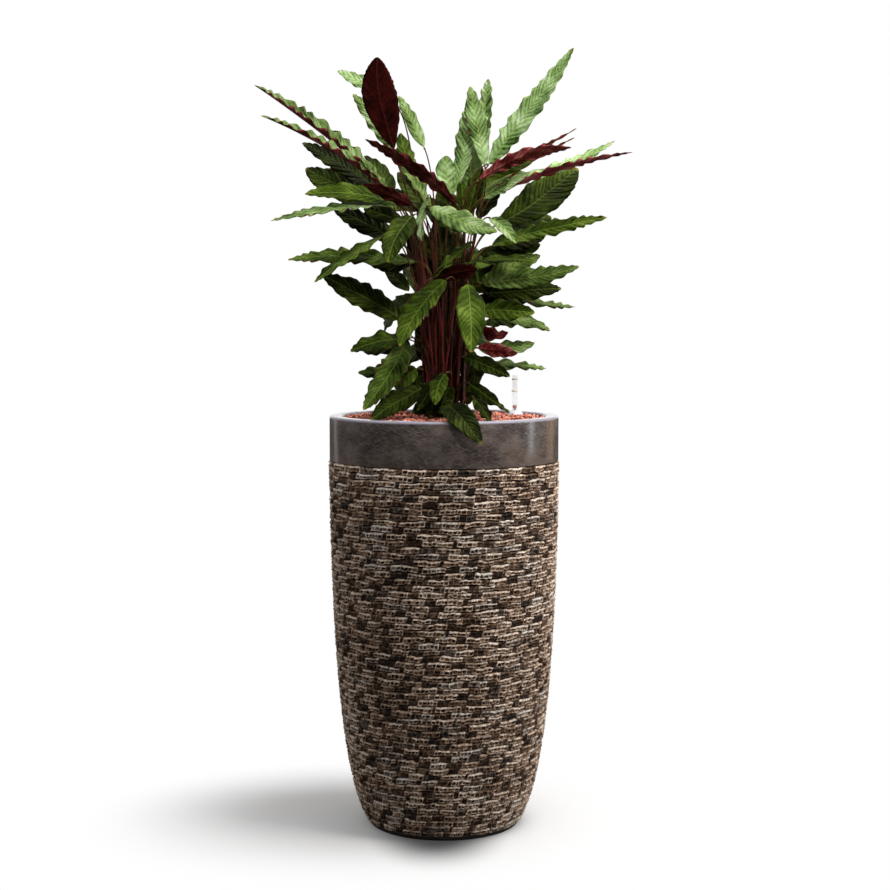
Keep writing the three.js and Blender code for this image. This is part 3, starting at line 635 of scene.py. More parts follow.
def pebbleShape():
    # A ball of a few flat faces: rings of points at even latitudes, closed by a pole at each end.
    latitude = np.radians(np.linspace(-90, 90, granules["rings"] + 2)[1:-1])
    profile = [(0, -1), *zip(np.cos(latitude), np.sin(latitude)), (0, 1)]
    points, (quads, foot, top) = revolve(profile, granules["sides"])
    triangles = np.vstack([quads[:, [0, 1, 2]], quads[:, [0, 2, 3]], foot, top])
    return points, triangles


def pebbles(name, lowRadius, highRadius, gaugePlace, material, seed):
    # Pebbles on a loose grid of triangles between two radii. Each has its own size, turn and corners:
    # corner = place + size times (turned ball corner, each moved by a random share).
    random = np.random.default_rng(seed)
    step = granules["spacing"]
    count = int(highRadius / step) + 2
    row, column = np.meshgrid(np.arange(-count, count), np.arange(-count, count))
    x = (column + 0.5 * (row % 2)).ravel() * step
    y = row.ravel() * step * math.sqrt(3) / 2
    x = x + random.uniform(-1, 1, x.size) * granules["jitter"]
    y = y + random.uniform(-1, 1, y.size) * granules["jitter"]
    radius = np.hypot(x, y)
    clear = np.hypot(x - gaugePlace[0], y - gaugePlace[1]) > granules["clear"]
    kept = (radius > lowRadius) & (radius < highRadius) & clear
    x, y = x[kept], y[kept]
    z = granules["surface"] + random.uniform(-1, 1, x.size) * granules["rough"]
    ball, triangles = pebbleShape()
    size = random.uniform(*granules["size"], (x.size, 1, 1))
    size = size * random.uniform(*granules["stretch"], (x.size, 1, 3))
    uneven = 1 + random.uniform(-1, 1, (x.size, len(ball), 1)) * granules["uneven"]
    corners = ball[None] * size * uneven
    turn, tip = random.uniform(0, 2 * math.pi, (2, x.size, 1))
    cx, cy, cz = corners[..., 0], corners[..., 1], corners[..., 2]
    ty, tz = cy * np.cos(tip) - cz * np.sin(tip), cy * np.sin(tip) + cz * np.cos(tip)
    points = np.stack([cx * np.cos(turn) - ty * np.sin(turn) + x[:, None],
                       cx * np.sin(turn) + ty * np.cos(turn) + y[:, None], tz + z[:, None]], axis=-1)
    faces = (triangles[None] + (np.arange(x.size) * len(ball))[:, None, None]).reshape(-1, 3)
    shade = random.uniform(*granules["shades"], (x.size, 1))
    # Painted shade: each pebble darker towards its foot.
    shade = shade - granules["footPaintedShade"] * (1 - tz / granules["size"][1]) / 2
    piece = makePiece(name, points.reshape(-1, 3), [faces], [material], values={"shade": shade}, smooth=False)
    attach(piece, "root")
    return x.size


def clayMaterial(name, isBed):
    material, tree, shader = startMaterial(name, Roughness=0.9, Specular_IOR_Level=0.3)
    grain, patches = noise(tree, **granules["grain"]), noise(tree, **granules["patches"])
    shade = maths(tree, "ADD", byAttribute(tree, "shade"), spread(tree, grain, *granules["grainShade"]))
    shade = maths(tree, "ADD", shade, spread(tree, patches, *granules["patchShade"]))
    colour = ramp(tree, shade, granules["tones"])
    # Painted shade: the bed showing between the pebbles is darkened, as in their shade.
    if isBed:
        colour = mixed(tree, 1.0, colour, granules["bedPaintedShade"], "MULTIPLY")
    tree.links.new(colour, shader.inputs["Base Color"])
    setBump(tree, shader, grain, *granules["bump"])
    return material


def coat(node, material):
    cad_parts[node].data.materials.clear()
    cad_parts[node].data.materials.append(material)


def makeGranules():
    low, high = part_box("gauge_foot")
    gaugePlace = ((low.x + high.x) / 2, (low.y + high.y) / 2)
    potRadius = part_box("culture_pot")[1].x
    clay = clayMaterial("firedClay", False)
    bed = clayMaterial("firedClayInPaintedShade", True)
    for node in ("granules_outer", "granules_inner"):
        coat(node, bed)
    outer = pebbles("granule_layer_outer", potRadius + granules["outsidePot"],
                    rimRadius - band["lip"] - granules["underLip"], gaugePlace, clay, granules["seed"])
    inner = pebbles("granule_layer_inner", granules["crownRadius"], potRadius - granules["insidePot"],
                    gaugePlace, clay, granules["seed"] + 1)
    print("granules:", outer + inner)


# Hidden pots

plastic = {
    "speck": {"scale": 260, "detail": 3},
    "specks": (0.35, 0.7),      # from the plain tone to the lighter one
    "lighter": 1.5,
    "bump": (0.12, 0.0004),
    "black": (0.010, 0.010, 0.011),
    "blackRoughness": 0.45,
}


def plasticMaterial(name, colour, roughness):
    material, tree, shader = startMaterial(name, Roughness=roughness)
    speck = noise(tree, **plastic["speck"])
    light = tuple(min(1.0, value * plastic["lighter"]) for value in colour)
    tones = list(zip(plastic["specks"], (colour, light)))
    tree.links.new(ramp(tree, speck, tones), shader.inputs["Base Color"])
    setBump(tree, shader, speck, *plastic["bump"])
    return material


def finishPots():
    black = plasticMaterial("blackPlastic", plastic["black"], plastic["blackRoughness"])
    for node in ("liner", "culture_pot"):
        coat(node, black)
    print("pots done")


# Water gauge

gauge = {
    "steps": 40,
    "sleeveRadius": 0.0052,
    "sleeveBore": 0.0041,
    "bevel": 0.0012,
    "cap": 0.0012,              # thickness of the sleeve's closed top
    "haze": {"scale": 120, "detail": 2},
    "clearTones": [(0.3, (0.93, 0.93, 0.92)), (0.7, (0.98, 0.98, 0.97))],
    "rings": [(0.7795, (0.97, 1.00, 0.74)), (0.7585, (0.97, 0.97, 0.74))],   # height, colour
    "ringHeight": 0.0022,
    "ringThickness": 0.00025,
    "ringRoughness": 0.5,
    # The collar: its tube's radii, and what lies above them.
    "tube": (0.0075, 0.0095),
    "seat": 0.7152,             # height of its underside on the granules
    "seatDrop": (0.0010, 0.0006),   # how far the flange dips below that, at its tube and at its edge
    "flangeEdge": 0.0010,
    "throat": 0.006,
    "rodHole": 0.0026,
    "collarRound": 0.0012,
    "domeRound": 0.0052,
    "domeMiddle": (0.0062, 0.0060),   # in from the flange's edge and down from the top
    "neck": [(0.0066, 0.0012), (0.0060, 0.0)],   # radius, how far below the top
    "pale": (0.66, 0.67, 0.70),
    "paleRoughness": 0.35,
    # The float, its rod and the mark on top.
    "floatRound": 0.002,
    "floatLength": 0.040,
    "floatTaper": 0.001,
    "rodRadius": 0.0016,
    "markHeight": 0.733,
    "markRadius": 0.0034,
    "markLength": 0.006,
    "markRound": 0.001,
    "markTaper": 0.0004,
    "red": (0.24, 0.012, 0.010),
    "redRoughness": 0.4,
}


def clearMaterial():
    material, tree, shader = startMaterial("clearPlastic", Alpha=0.10, Roughness=0.3)
    haze = noise(tree, **gauge["haze"])
    tree.links.new(ramp(tree, haze, gauge["clearTones"]), shader.inputs["Base Color"])
    return material


def gaugePiece(name, profile, place, material):
    points, faces = revolve(profile, gauge["steps"])
    return makePiece(name, points + place, faces, [material])


def makeGauge():
    low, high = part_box("gauge_sleeve")
    place = np.array([(low.x + high.x) / 2, (low.y + high.y) / 2, 0])
    outer, bore = gauge["sleeveRadius"], gauge["sleeveBore"]
    bevel, cap = gauge["bevel"], gauge["cap"]
    sleeve = [(0, high.z - cap), (bore, high.z - 2 * cap), (bore, low.z), (outer, low.z),
              *arc((outer - bevel, high.z - bevel), bevel, 0, 90), (0, high.z)]
    settle(gaugePiece("gauge_tube", sleeve, place, clearMaterial()), "clear_plastic", "gauge_sleeve")
    for number, (height, colour) in enumerate(gauge["rings"]):
        low, high = height - gauge["ringHeight"] / 2, height + gauge["ringHeight"] / 2
        wide = outer + gauge["ringThickness"]
        profile = [(outer, low), (wide, low), (wide, high), (outer, high)]
        ink = plasticMaterial("markInk%d" % number, colour, gauge["ringRoughness"])
        ring = gaugePiece("gauge_mark_%d" % number, profile, place, ink)
        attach(ring, "root")

    # The collar's profile: down the hole, out under the flange, over its dome and back to the rod's hole.
    footLow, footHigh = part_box("gauge_foot")
    collar, top = footHigh.x - place[0], footHigh.z
    (inside, outside), seat, rod = gauge["tube"], gauge["seat"], gauge["rodHole"]
    soft, dome = gauge["collarRound"], gauge["domeRound"]
    tubeDrop, edgeDrop = gauge["seatDrop"]
    inward, down = gauge["domeMiddle"]
    profile = np.vstack([
        [(inside, footLow.z), (outside, footLow.z), (outside, seat - tubeDrop)],
        [(collar - gauge["flangeEdge"], seat - edgeDrop)],
        arc((collar - soft, seat + soft), soft, -60, 20, 4),
        arc((collar - inward, top - down), dome, 20, 80, 6),
        [(radius, top - drop) for radius, drop in gauge["neck"]],
        [(rod, top), (rod, seat), (inside, seat - gauge["throat"])],
    ])
    pale = plasticMaterial("palePlastic", gauge["pale"], gauge["paleRoughness"])
    settle(gaugePiece("gauge_collar", profile, place, pale), "grey_plastic", "gauge_foot")

    # The float's profile: round its ends, up the thin rod and over the mark.
    floatLow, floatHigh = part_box("gauge_float")
    wide, thin, soft = floatHigh.x - place[0], gauge["rodRadius"], gauge["floatRound"]
    floatTop = floatLow.z + gauge["floatLength"]
    mark, markTop, edge = gauge["markRadius"], gauge["markHeight"], gauge["markRound"]
    markFoot = markTop - gauge["markLength"]
    profile = np.vstack([
        [(0, floatLow.z)], arc((wide - soft, floatLow.z + soft), soft, -90, 0),
        arc((wide - soft, floatTop - soft), soft, 0, 90),
        [(thin, floatTop + gauge["floatTaper"]), (thin, markFoot), (mark, markFoot + gauge["markTaper"])],
        arc((mark - edge, markTop - edge), edge, 0, 90), [(0, markTop)],
    ])
    red = plasticMaterial("redPlastic", gauge["red"], gauge["redRoughness"])
    settle(gaugePiece("gauge_pointer", profile, place, red), "red_plastic", "gauge_float")
    print("gauge done")


# Leaves

# The blades of each node as they look from the front, in millimetres. First the place x, z, depth where a
# node's blades start, and then for each blade its tip's x, z and depth, width, facing, arch, sweep, fold and
# widest. A depth is how far behind the pot's middle a place lies. Facing is the turn of the upper side
# towards the viewer in degrees, negative for the underside. Arch and sweep are how far the midrib bows, as
# a share of its length, towards the upper side and upwards in the picture, fold is the rise of each half
# from the midrib in degrees, and widest the share of the length where the blade is widest. Then tone, from
# 0 for a dark blade to 1 for a lime one, partly painted shade and light: dark for a blade in shadow, lime
# for a lit one. Last, how wavy it is.
blades = {
    # Upper left
    "leaf_left_spears": ((-92, 1102, -8), [
        (-327, 1289, 10, 36, 22, 0.028, 0.00, 38, 0.46, 0.66, 1.1),
        (-316, 1237, -78, 31, 15, 0.045, 0.00, 33, 0.46, 0.68, 1.0),
        (-138, 1169, 34, 34, 52, 0.02, 0.09, 4, 0.46, 0.15, 0.7),
    ]),
    "leaf_left_dark_pair": ((-95, 1098, 44), [
        (-245, 1191, 96, 50, 50, 0.04, 0.00, 6, 0.46, 0.00, 0.8),
        (-239, 1148, 136, 62, 62, 0.00, -0.06, 3, 0.46, 0.24, 0.8),
    ]),
    "leaf_left_bright_pair": ((-84, 1086, -28), [
        (-241, 1103, -62, 46, 42, 0.08, 0.00, 9, 0.46, 0.46, 0.7),
        (-300, 1057, -128, 42, 22, 0.03, 0.00, 3, 0.46, 0.66, 0.8),
    ]),
    "leaf_left_shaded": ((-80, 1022, 40), [(-191, 1078, 118, 46, 60, 0.03, 0.00, 3, 0.42, 0.03, 1.0)]),
    "leaf_left_tip_small": ((-93, 1266, 48), [(-183, 1314, 66, 30, 60, 0.03, 0.00, 7, 0.46, 0.80, 0.7)]),
    "leaf_left_behind_red": ((-90, 1177, 14), [(-157, 1274, 28, 34, 58, 0.02, 0.03, 4, 0.46, 0.75, 0.9)]),
    "leaf_red_upright": ((-86, 1181, -20), [(-115, 1337, -78, 60, -80, 0.00, -0.05, 3, 0.56, 0.00, 0.3)]),
    "leaf_upper_left_small": ((-35, 1184, 14), [(-78, 1271, 20, 26, 65, 0.01, 0.00, 2, 0.46, 0.72, 0.8)]),
    "leaf_upper_left_tucked": ((-55, 1145, -8), [(-75, 1208, 2, 30, 60, 0.00, -0.05, 3, 0.46, 0.28, 0.8)]),
    "leaf_red_crossing": ((21, 1086, -40), [(-136, 1197, -112, 35, -36, 0.02, 0.04, 3, 0.46, 0.20, 0.9)]),
    "leaf_red_left": ((-54, 1084, -50), [(-140, 1120, -64, 30, -46, 0.02, 0.00, 3, 0.46, 0.10, 0.6)]),
    # Upper middle and right
    "leaf_top_middle_low_pair": ((16, 1102, 22), [
        (5, 1169, 30, 40, 75, 0.00, -0.08, 3, 0.55, 0.82, 0.9),
        (43, 1259, 42, 40, 66, 0.00, -0.05, 6, 0.62, 1.00, 1.0),
    ]),
    "leaf_top_middle_pair": ((71, 1151, 2), [
        (45, 1287, 8, 39, 68, 0.00, 0.00, 4, 0.52, 0.76, 1.0),
        (76, 1300, 40, 27, 62, 0.00, 0.02, 2, 0.68, 0.80, 1.0),
    ]),
    "leaf_top_right_pair": ((78, 1155, 2), [
        (223, 1353, -40, 44, 56, 0.00, -0.01, 5, 0.38, 1.00, 1.0),
        (229, 1216, 6, 20, -15, -0.05, 0.00, 2, 0.46, 0.90, 0.4),
    ]),
    "leaf_red_right_pair": ((61, 1127, -36), [
        (220, 1183, -108, 36, -36, 0.07, 0.03, 3, 0.46, 1.00, 0.7),
        (163, 1169, -36, 44, 34, 0.00, -0.02, 2, 0.46, 0.35, 0.5),
    ]),
    "leaf_right_spears": ((99, 1121, 2), [
        (226, 1200, -6, 20, -14, 0.03, 0.00, 2, 0.46, 1.00, 0.4),
        (295, 1194, 26, 38, 30, -0.05, 0.00, 4, 0.46, 1.00, 0.8),
    ]),
    "leaf_right_low_spears": ((68, 1097, -48), [
        (326, 1175, -88, 32, -17, 0.036, 0.00, 3, 0.46, 1.00, 0.6),
        (149, 1141, -118, 30, 36, -0.02, 0.00, 3, 0.46, 0.70, 0.6),
    ]),
    "leaf_right_dark_pair": ((88, 1048, 42), [
        (231, 1148, 96, 70, 66, 0.02, -0.045, 2, 0.55, 0.19, 0.6),
        (186, 1064, 126, 56, 55, 0.02, 0.00, 2, 0.46, 0.23, 0.6),
    ]),
    "leaf_right_wavy_pair": ((83, 1014, 2), [
        (283, 1063, -74, 40, 42, 0.03, 0.00, 2, 0.46, 0.44, 1.1),
        (179, 1040, 44, 46, 62, 0.01, -0.02, 0, 0.50, 0.00, 0.6),
    ]),
    "leaf_right_droop_lime": ((80, 1062, -76), [(126, 1018, -122, 26, 60, 0.1, 0.00, 12, 0.46, 0.68, 0.4)]),
    # Middle front
    "leaf_front_bright": ((-24, 1081, -84), [(92, 1038, -160, 44, 58, -0.03, -0.02, 2, 0.46, 0.66, 1.0)]),
    "leaf_front_left_droop": ((-54, 1066, -86), [(-97, 985, -146, 46, 72, 0.07, 0.05, 6, 0.46, 0.20, 0.9)]),
    "leaf_front_curl": ((-30, 1094, -84), [(-38, 1022, -112, 32, 26, 0.05, 0.00, 12, 0.46, 0.80, 0.9)]),
    "leaf_front_tucked": ((-22, 1076, -54), [(-68, 1140, -30, 28, 35, 0.05, 0.00, 12, 0.46, 0.58, 0.8)]),
    "leaf_mid_centre_pair": ((-20, 958, -62), [
        (52, 1023, -78, 34, 24, 0.03, 0.00, 4, 0.46, 0.36, 1.0),
        (58, 974, -68, 36, -48, 0.05, 0.00, 3, 0.46, 0.00, 0.5),
    ]),
    # Middle left
    "leaf_mid_left_pair": ((-50, 986, -20), [
        (-271, 990, -56, 48, 32, 0.04, 0.00, 2, 0.46, 0.50, 1.1),
        (-132, 988, 22, 38, 60, 0.00, -0.03, 0, 0.46, 0.00, 1.0),
    ]),
    "leaf_mid_left_crossing": ((-108, 1031, -58), [
        (-225, 951, -118, 38, 32, 0.03, 0.00, 2, 0.46, 0.30, 0.8),
    ]),
    "leaf_mid_left_broad": ((-73, 887, 20), [(-212, 964, 34, 51, 60, 0.02, 0.00, 6, 0.46, 0.13, 1.0)]),
    "leaf_front_left_broad": ((3, 955, -78), [(-77, 840, -150, 54, 52, 0.04, 0.04, 13, 0.46, 0.32, 1.2)]),
    "leaf_front_middle": ((42, 948, -82), [(47, 829, -156, 50, 76, 0.06, 0.00, 6, 0.46, 0.44, 1.0)]),
    # Middle right
    "leaf_mid_right_lime": ((40, 984, -48), [(160, 986, -96, 30, 24, 0.05, 0.00, 4, 0.46, 0.40, 0.8)]),
    "leaf_mid_right_high_pair": ((66, 950, -4), [
        (167, 998, 6, 42, 60, 0.02, 0.00, 2, 0.46, 0.55, 1.0),
        (235, 978, -84, 44, 48, -0.02, -0.02, 2, 0.46, 0.56, 1.0),
    ]),
    "leaf_mid_right_broad_pair": ((77, 932, 12), [
        (204, 940, 8, 48, 50, 0.01, 0.00, 2, 0.46, 0.18, 0.9),
        (229, 908, 40, 30, 24, -0.02, 0.00, 3, 0.46, 0.56, 1.1),
    ]),
    "leaf_mid_right_front_pair": ((60, 901, -38), [
        (158, 898, -92, 42, 58, 0.05, 0.00, 4, 0.46, 0.28, 1.1),
        (118, 872, -34, 26, 40, 0.06, 0.00, 12, 0.46, 0.18, 0.9),
    ]),
    "leaf_mid_right_low_pair": ((63, 877, 4), [
        (185, 867, -4, 38, 40, 0.15, 0.00, 3, 0.46, 0.60, 1.2),
        (112, 864, 12, 28, -50, -0.20, -0.10, 0, 0.46, 0.90, 1.0),
    ]),
    # Low right
    "leaf_low_red_pair": ((59, 837, -26), [
        (128, 828, -76, 30, -52, 0.00, 0.00, 0, 0.46, 0.75, 0.6),
        (158, 846, -16, 36, 46, -0.04, -0.04, 0, 0.46, 0.60, 0.8),
    ]),
    "leaf_low_right_wavy_pair": ((52, 812, 14), [
        (179, 801, 20, 27, 30, 0.01, 0.00, 2, 0.46, 0.75, 1.2),
        (52, 762, 48, 38, 55, 0.02, 0.00, 3, 0.46, 0.00, 0.8),
    ]),
    "leaf_low_right_dark": ((35, 821, -50), [(115, 787, -100, 34, 55, 0.03, 0.00, 3, 0.46, 0.00, 0.7)]),
    "leaf_low_right_front_pair": ((45, 774, -36), [
        (98, 736, -68, 28, 58, 0.00, 0.00, 0, 0.46, 0.10, 0.8),
        (116, 723, -32, 20, 28, 0.00, 0.00, 0, 0.46, 0.14, 0.6),
    ]),
    "leaf_low_front_small": ((52, 750, -92), [(81, 706, -128, 24, 58, 0.06, 0.00, 3, 0.46, 0.00, 1.1)]),
    "leaf_over_rim": ((8, 736, -108), [(67, 668, -235.2, 46, 62, 0.19, -0.07, 6, 0.54, 0.00, 0.5)]),
    # Low left
    "leaf_low_left_trio": ((-66, 852, -20), [
        (-163, 831, -56, 44, 42, 0.08, 0.00, 6, 0.46, 0.26, 1.2),
        (-140, 830, 12, 32, 45, -0.02, -0.03, 2, 0.46, 0.14, 1.0),
        (-141, 729, -108, 50, 64, 0.03, -0.06, 4, 0.46, 0.52, 1.2),
    ]),
    "leaf_low_left_dark_pair": ((-48, 800, 10), [
        (-150, 794, 36, 34, 55, -0.02, 0.00, 2, 0.46, 0.60, 1.2),
        (-86, 766, 6, 46, 50, 0.08, 0.00, 4, 0.46, 0.46, 1.1),
    ]),
    "leaf_low_left_front": ((-38, 768, -44), [(-128, 711, -120, 42, 66, 0.04, 0.00, 5, 0.46, 0.12, 1.1)]),
    "leaf_low_front_pair": ((3, 792, -72), [
        (-46, 728, -96, 36, 48, 0.06, 0.00, 4, 0.46, 0.00, 1.1),
        (-15, 737, -116, 30, 72, 0.1, 0.05, 4, 0.46, 0.30, 1.1),
    ]),
    # Back
    "leaf_back_high_left_pair": ((-44, 1074, 54), [
        (-80, 1182, 215, 50, 50, 0.06, 0.00, 8, 0.46, 0.55, 0.8),
        (-150, 1096, 205, 54, 50, 0.06, 0.00, 8, 0.46, 0.40, 0.7),
    ]),
    "leaf_back_high_right_pair": ((50, 1092, 52), [
        (52, 1222, 190, 50, 60, 0.05, 0.00, 8, 0.46, 0.60, 0.8),
        (138, 1142, 220, 52, 50, 0.06, 0.00, 8, 0.46, 0.50, 0.7),
    ]),
    "leaf_back_middle_trio": ((22, 990, 66), [
        (-22, 1076, 250, 52, 45, 0.08, 0.00, 8, 0.46, 0.55, 0.8),
        (66, 1000, 235, 50, 45, 0.08, 0.00, 8, 0.46, 0.45, 0.7),
        (134, 950, 200, 50, 45, 0.08, 0.00, 8, 0.46, 0.40, 0.8),
    ]),
    "leaf_back_left_pair": ((-44, 926, 56), [
        (-84, 1000, 220, 44, 45, 0.08, 0.00, 8, 0.46, 0.45, 0.7),
        (-104, 868, 190, 44, 45, 0.1, 0.00, 8, 0.46, 0.35, 0.8),
    ]),
    "leaf_back_low_four": ((6, 846, 54), [
        (6, 762, 150, 40, 40, 0.14, 0.00, 8, 0.46, 0.30, 0.7),
        (34, 888, 215, 48, 40, 0.1, 0.00, 8, 0.46, 0.40, 0.7),
        (86, 838, 175, 42, 40, 0.12, 0.00, 8, 0.46, 0.35, 0.7),
        (-72, 800, 160, 44, 40, 0.12, 0.00, 8, 0.46, 0.35, 0.7),
    ]),
}

# More dark blades deep in the clump, each with its own start, their dark tone partly painted shade.
innerBlades = [
    ((66, 993, 30), (167, 1017, 60, 46, 62, 0.02, -0.02, 4, 0.46, 0.10, 0.7)),
    ((-28, 1067, 20), (-80, 1141, 46, 40, 60, 0.03, 0.00, 4, 0.46, 0.05, 0.7)),
    ((19, 1048, 34), (-7, 1117, 50, 44, 66, 0.03, 0.00, 4, 0.46, 0.05, 0.7)),
    ((-73, 1055, 36), (-139, 1079, 64, 36, 58, 0.02, 0.00, 4, 0.46, 0.05, 0.7)),
    ((-61, 936, 34), (-104, 977, 54, 28, 62, 0.02, 0.00, 4, 0.46, 0.05, 0.7)),
    ((-19, 924, 58), (-52, 1052, 78, 60, 75, 0.02, 0.00, 4, 0.46, 0.00, 0.7)),
    ((31, 920, 60), (14, 1038, 84, 56, 75, 0.02, 0.00, 4, 0.46, 0.00, 0.7)),
    ((45, 938, 26), (113, 976, 40, 50, 64, 0.02, 0.00, 4, 0.46, 0.05, 0.7)),
    ((49, 910, 26), (117, 922, 44, 42, 60, 0.02, 0.00, 4, 0.46, 0.05, 0.7)),
    ((-18, 799, 26), (-70, 771, 40, 38, 60, 0.03, 0.00, 4, 0.46, 0.10, 0.7)),
    ((-14, 774, 20), (-63, 743, 30, 34, 55, 0.05, 0.00, 4, 0.46, 0.10, 0.7)),
    ((21, 833, 34), (63, 792, 56, 46, 66, 0.03, 0.00, 4, 0.46, 0.00, 0.7)),
    ((21, 788, 26), (45, 739, 40, 42, 62, 0.04, 0.00, 4, 0.46, 0.00, 0.7)),
    ((33, 764, 8), (84, 746, 14, 34, 54, 0.06, 0.00, 4, 0.46, 0.10, 0.7)),
    ((12, 772, -40), (-7, 727, -58, 34, 62, 0.06, 0.00, 4, 0.46, 0.00, 0.7)),
    ((59, 1003, 12), (151, 997, 26, 32, 58, 0.04, 0.00, 4, 0.46, 0.10, 0.7)),
    ((3, 1045, 18), (-35, 1100, 30, 40, 62, 0.04, 0.00, 4, 0.46, 0.05, 0.7)),
    ((3, 826, 56), (-18, 922, 72, 52, 78, 0.03, 0.00, 4, 0.46, 0.00, 0.7)),
    ((14, 850, 58), (22, 996, 78, 62, 78, 0.03, 0.00, 4, 0.46, 0.00, 0.7)),
    ((10, 784, 50), (6, 880, 66, 56, 80, 0.03, 0.00, 4, 0.46, 0.00, 0.7)),
    ((40, 1064, 16), (66, 1150, 30, 34, 64, 0.03, 0.00, 4, 0.46, 0.30, 0.8)),
    ((34, 1050, 12), (30, 1128, 24, 30, 66, 0.03, 0.00, 4, 0.46, 0.25, 0.8)),
    ((58, 1062, 18), (96, 1112, 34, 32, 60, 0.03, 0.00, 4, 0.46, 0.05, 0.8)),
    ((4, 940, 62), (-10, 1064, 82, 56, 78, 0.03, 0.00, 4, 0.46, 0.00, 0.7)),
    ((-16, 800, 44), (-42, 886, 62, 48, 78, 0.03, 0.00, 4, 0.46, 0.00, 0.7)),
    ((6, 752, -48), (-56, 723, -72, 36, 60, 0.04, 0.00, 4, 0.46, 0.00, 0.8)),
    ((-38, 752, -50), (22, 722, -76, 36, 62, 0.04, 0.00, 4, 0.46, 0.00, 0.8)),
    ((-12, 776, -54), (-22, 716, -82, 42, 64, 0.04, 0.00, 4, 0.50, 0.00, 0.8)),
]

leaf = {
    "seed": 5,
    "thickness": 0.0007,
    "footHalf": 0.0006,
    "fullness": 0.68,
    "rowStep": 0.0021,
    "rowLimits": (30, 130),
    "acrossSteps": 14,
    "crowding": 1.2,         # how much closer the columns lie at the midrib than at the margin
    "veinSlant": 1.45,       # how far a side vein runs on for each step outwards
    "mostSlant": 0.88,
    "slantGrowth": 0.25,
    "pleatLength": 0.0105,
    "pleatHeight": 0.0008,
    "pleatPower": 0.8,       # a lower one makes the pleats rounder and their veins sharper
    "pleatMiddle": 0.55,
    "pleatFade": 4,
    "waveLength": 0.0240,
    "waveHeight": 0.0046,
    "wavePower": 1.7,        # how fast a wave grows towards the margin
    "wander": 0.3,           # how unevenly the pleats follow each other, in pleats
    "wanderLength": 0.083,
    "waveWander": 0.7,       # the same for the waves, as a share of that
    "swell": 0.25,           # how much the waves' strength changes along the blade
    "swellLength": 0.061,
    "scallop": 0.060,
    "scallopPower": 3,
    "scallopTurn": 1.2,
    "scallopPleat": 0.8,
    "ribHeight": 0.0013,
    "ribWidth": 0.0012,
    "ribFade": 0.7,
    "upperRib": 0.25,        # how deep the groove above is, as a share of the rib below
    "endThin": 0.25,
    "paintedHalfTurn": 4,           # how sharply one half's painted shade changes to the other's at the midrib
    "drift": 0.012,          # a small sideways wander of the midrib
    "shadedGreenTones": [(0.05, (0.001, 0.0015, 0.0002)), (0.50, (0.0055, 0.009, 0.0006)),
                  (0.95, (0.040, 0.058, 0.005))],
    "midTones": [(0.05, (0.006, 0.012, 0.0008)), (0.50, (0.040, 0.070, 0.0050)),
                 (0.95, (0.145, 0.210, 0.030))],
    "litLimeTones": [(0.05, (0.024, 0.056, 0.006)), (0.50, (0.285, 0.430, 0.152)),
                  (0.95, (0.720, 0.860, 0.560))],
    "shadedRed": [(0.1, (0.004, 0.0008, 0.001)), (0.9, (0.046, 0.0050, 0.004))],
    "litRed": [(0.1, (0.060, 0.008, 0.008)), (0.55, (0.330, 0.048, 0.048)), (0.95, (0.740, 0.220, 0.200))],
    "ribTones": ((0.040, 0.066, 0.006, 1), (0.28, 0.40, 0.06, 1)),
    "marginTones": ((0.05, 0.06, 0.010, 1), (0.48, 0.50, 0.13, 1)),
    "tipTone": (0.22, 0.16, 0.03, 1),
    "glossTint": (0.75, 0.90, 0.24, 1),
    "redGlossTint": (1.00, 0.50, 0.42, 1),
    "redRib": (0.085, 0.018, 0.012, 1),
    "pleatPatch": {"scale": 55, "detail": 2},
    "pleatWobble": (-0.16, 0.16),
    "fine": {"scale": 240, "detail": 3},
    # How the green side's shade adds up, with painted shade dark in the pleats' veins and light on their
    # crests and on one half, from which tone the middle and lime colours set in, and where its rib, margin
    # and tip lie, with their strength.
    "blotch": {"scale": 26, "detail": 3},
    "pleatPaintedShade": 0.26,
    "blotchShade": (0.04, 0.54),
    "paintedHalfShade": 0.16,
    "fineShade": (-0.08, 0.08),
    "midFrom": (0.0, 0.5),
    "limeFrom": (0.45, 1.0),
    "ribReach": (0.0003, 0.0012, 0.7, 0.0),
    "marginReach": (0.95, 0.99, 0.0, 0.45),
    "tipReach": (0.955, 0.995, 0.0, 0.7),
    "roughness": (0.34, 0.48),
    "fineBump": 0.30,
    "bump": (0.36, 0.0012),
    # The same for the red side.
    "redBlotch": {"scale": 40, "detail": 3},
    "redPleatPaintedShade": 0.22,
    "redBlotchShade": (0.08, 0.72),
    "redRibReach": (0.0004, 0.0015, 0.6, 0.0),
    "redFineBump": 0.35,
    "redBump": (0.35, 0.0011),
}


def onSightLine(x, z, depth):
    # The point that looks to be at (x, z) from the camera's place, at that depth behind the pot's middle.
    eye = studio["cameraPlace"]
    reach = 1 + depth / (-eye[1] / millimetre)
    return np.array([x * reach, depth, eye[2] / millimetre + (z - eye[2] / millimetre) * reach]) * millimetre


def unit(vectors):
    return vectors / np.linalg.norm(vectors, axis=-1, keepdims=True)


def leafShape(node, start, row):
    # The midrib is a quadratic curve from base to tip, bowed towards the upper side and sideways. The upper
    # side's direction is square to the chord, turned by the facing from upward towards the viewer.
    tipX, tipZ, tipDepth, width, facing, arch, sweep, fold, widest, tone, waviness = row
    tip, base = onSightLine(tipX, tipZ, tipDepth), onSightLine(*start)
    length = np.linalg.norm(tip - base)
    along = (tip - base) / length
    front = unit(np.array([0, -1, 0]) + along[1] * along)
    upward = np.cross(along, front)
    upward = upward * (1 if upward[2] >= 0 else -1)
    turn = math.radians(facing)
    normal = front * math.sin(turn) + upward * math.cos(turn)
    sideways = np.cross(along, normal)
    sideways = sideways * (1 if sideways @ upward >= 0 else -1)
    bow = (base + tip) / 2 + (normal * arch + sideways * sweep) * 2 * length
    return {"node": node, "points": (base, bow, tip), "normal": normal, "length": length, "facing": facing,
            "width": width * millimetre, "fold": math.radians(fold), "widest": widest, "tone": tone,
            "waviness": waviness}


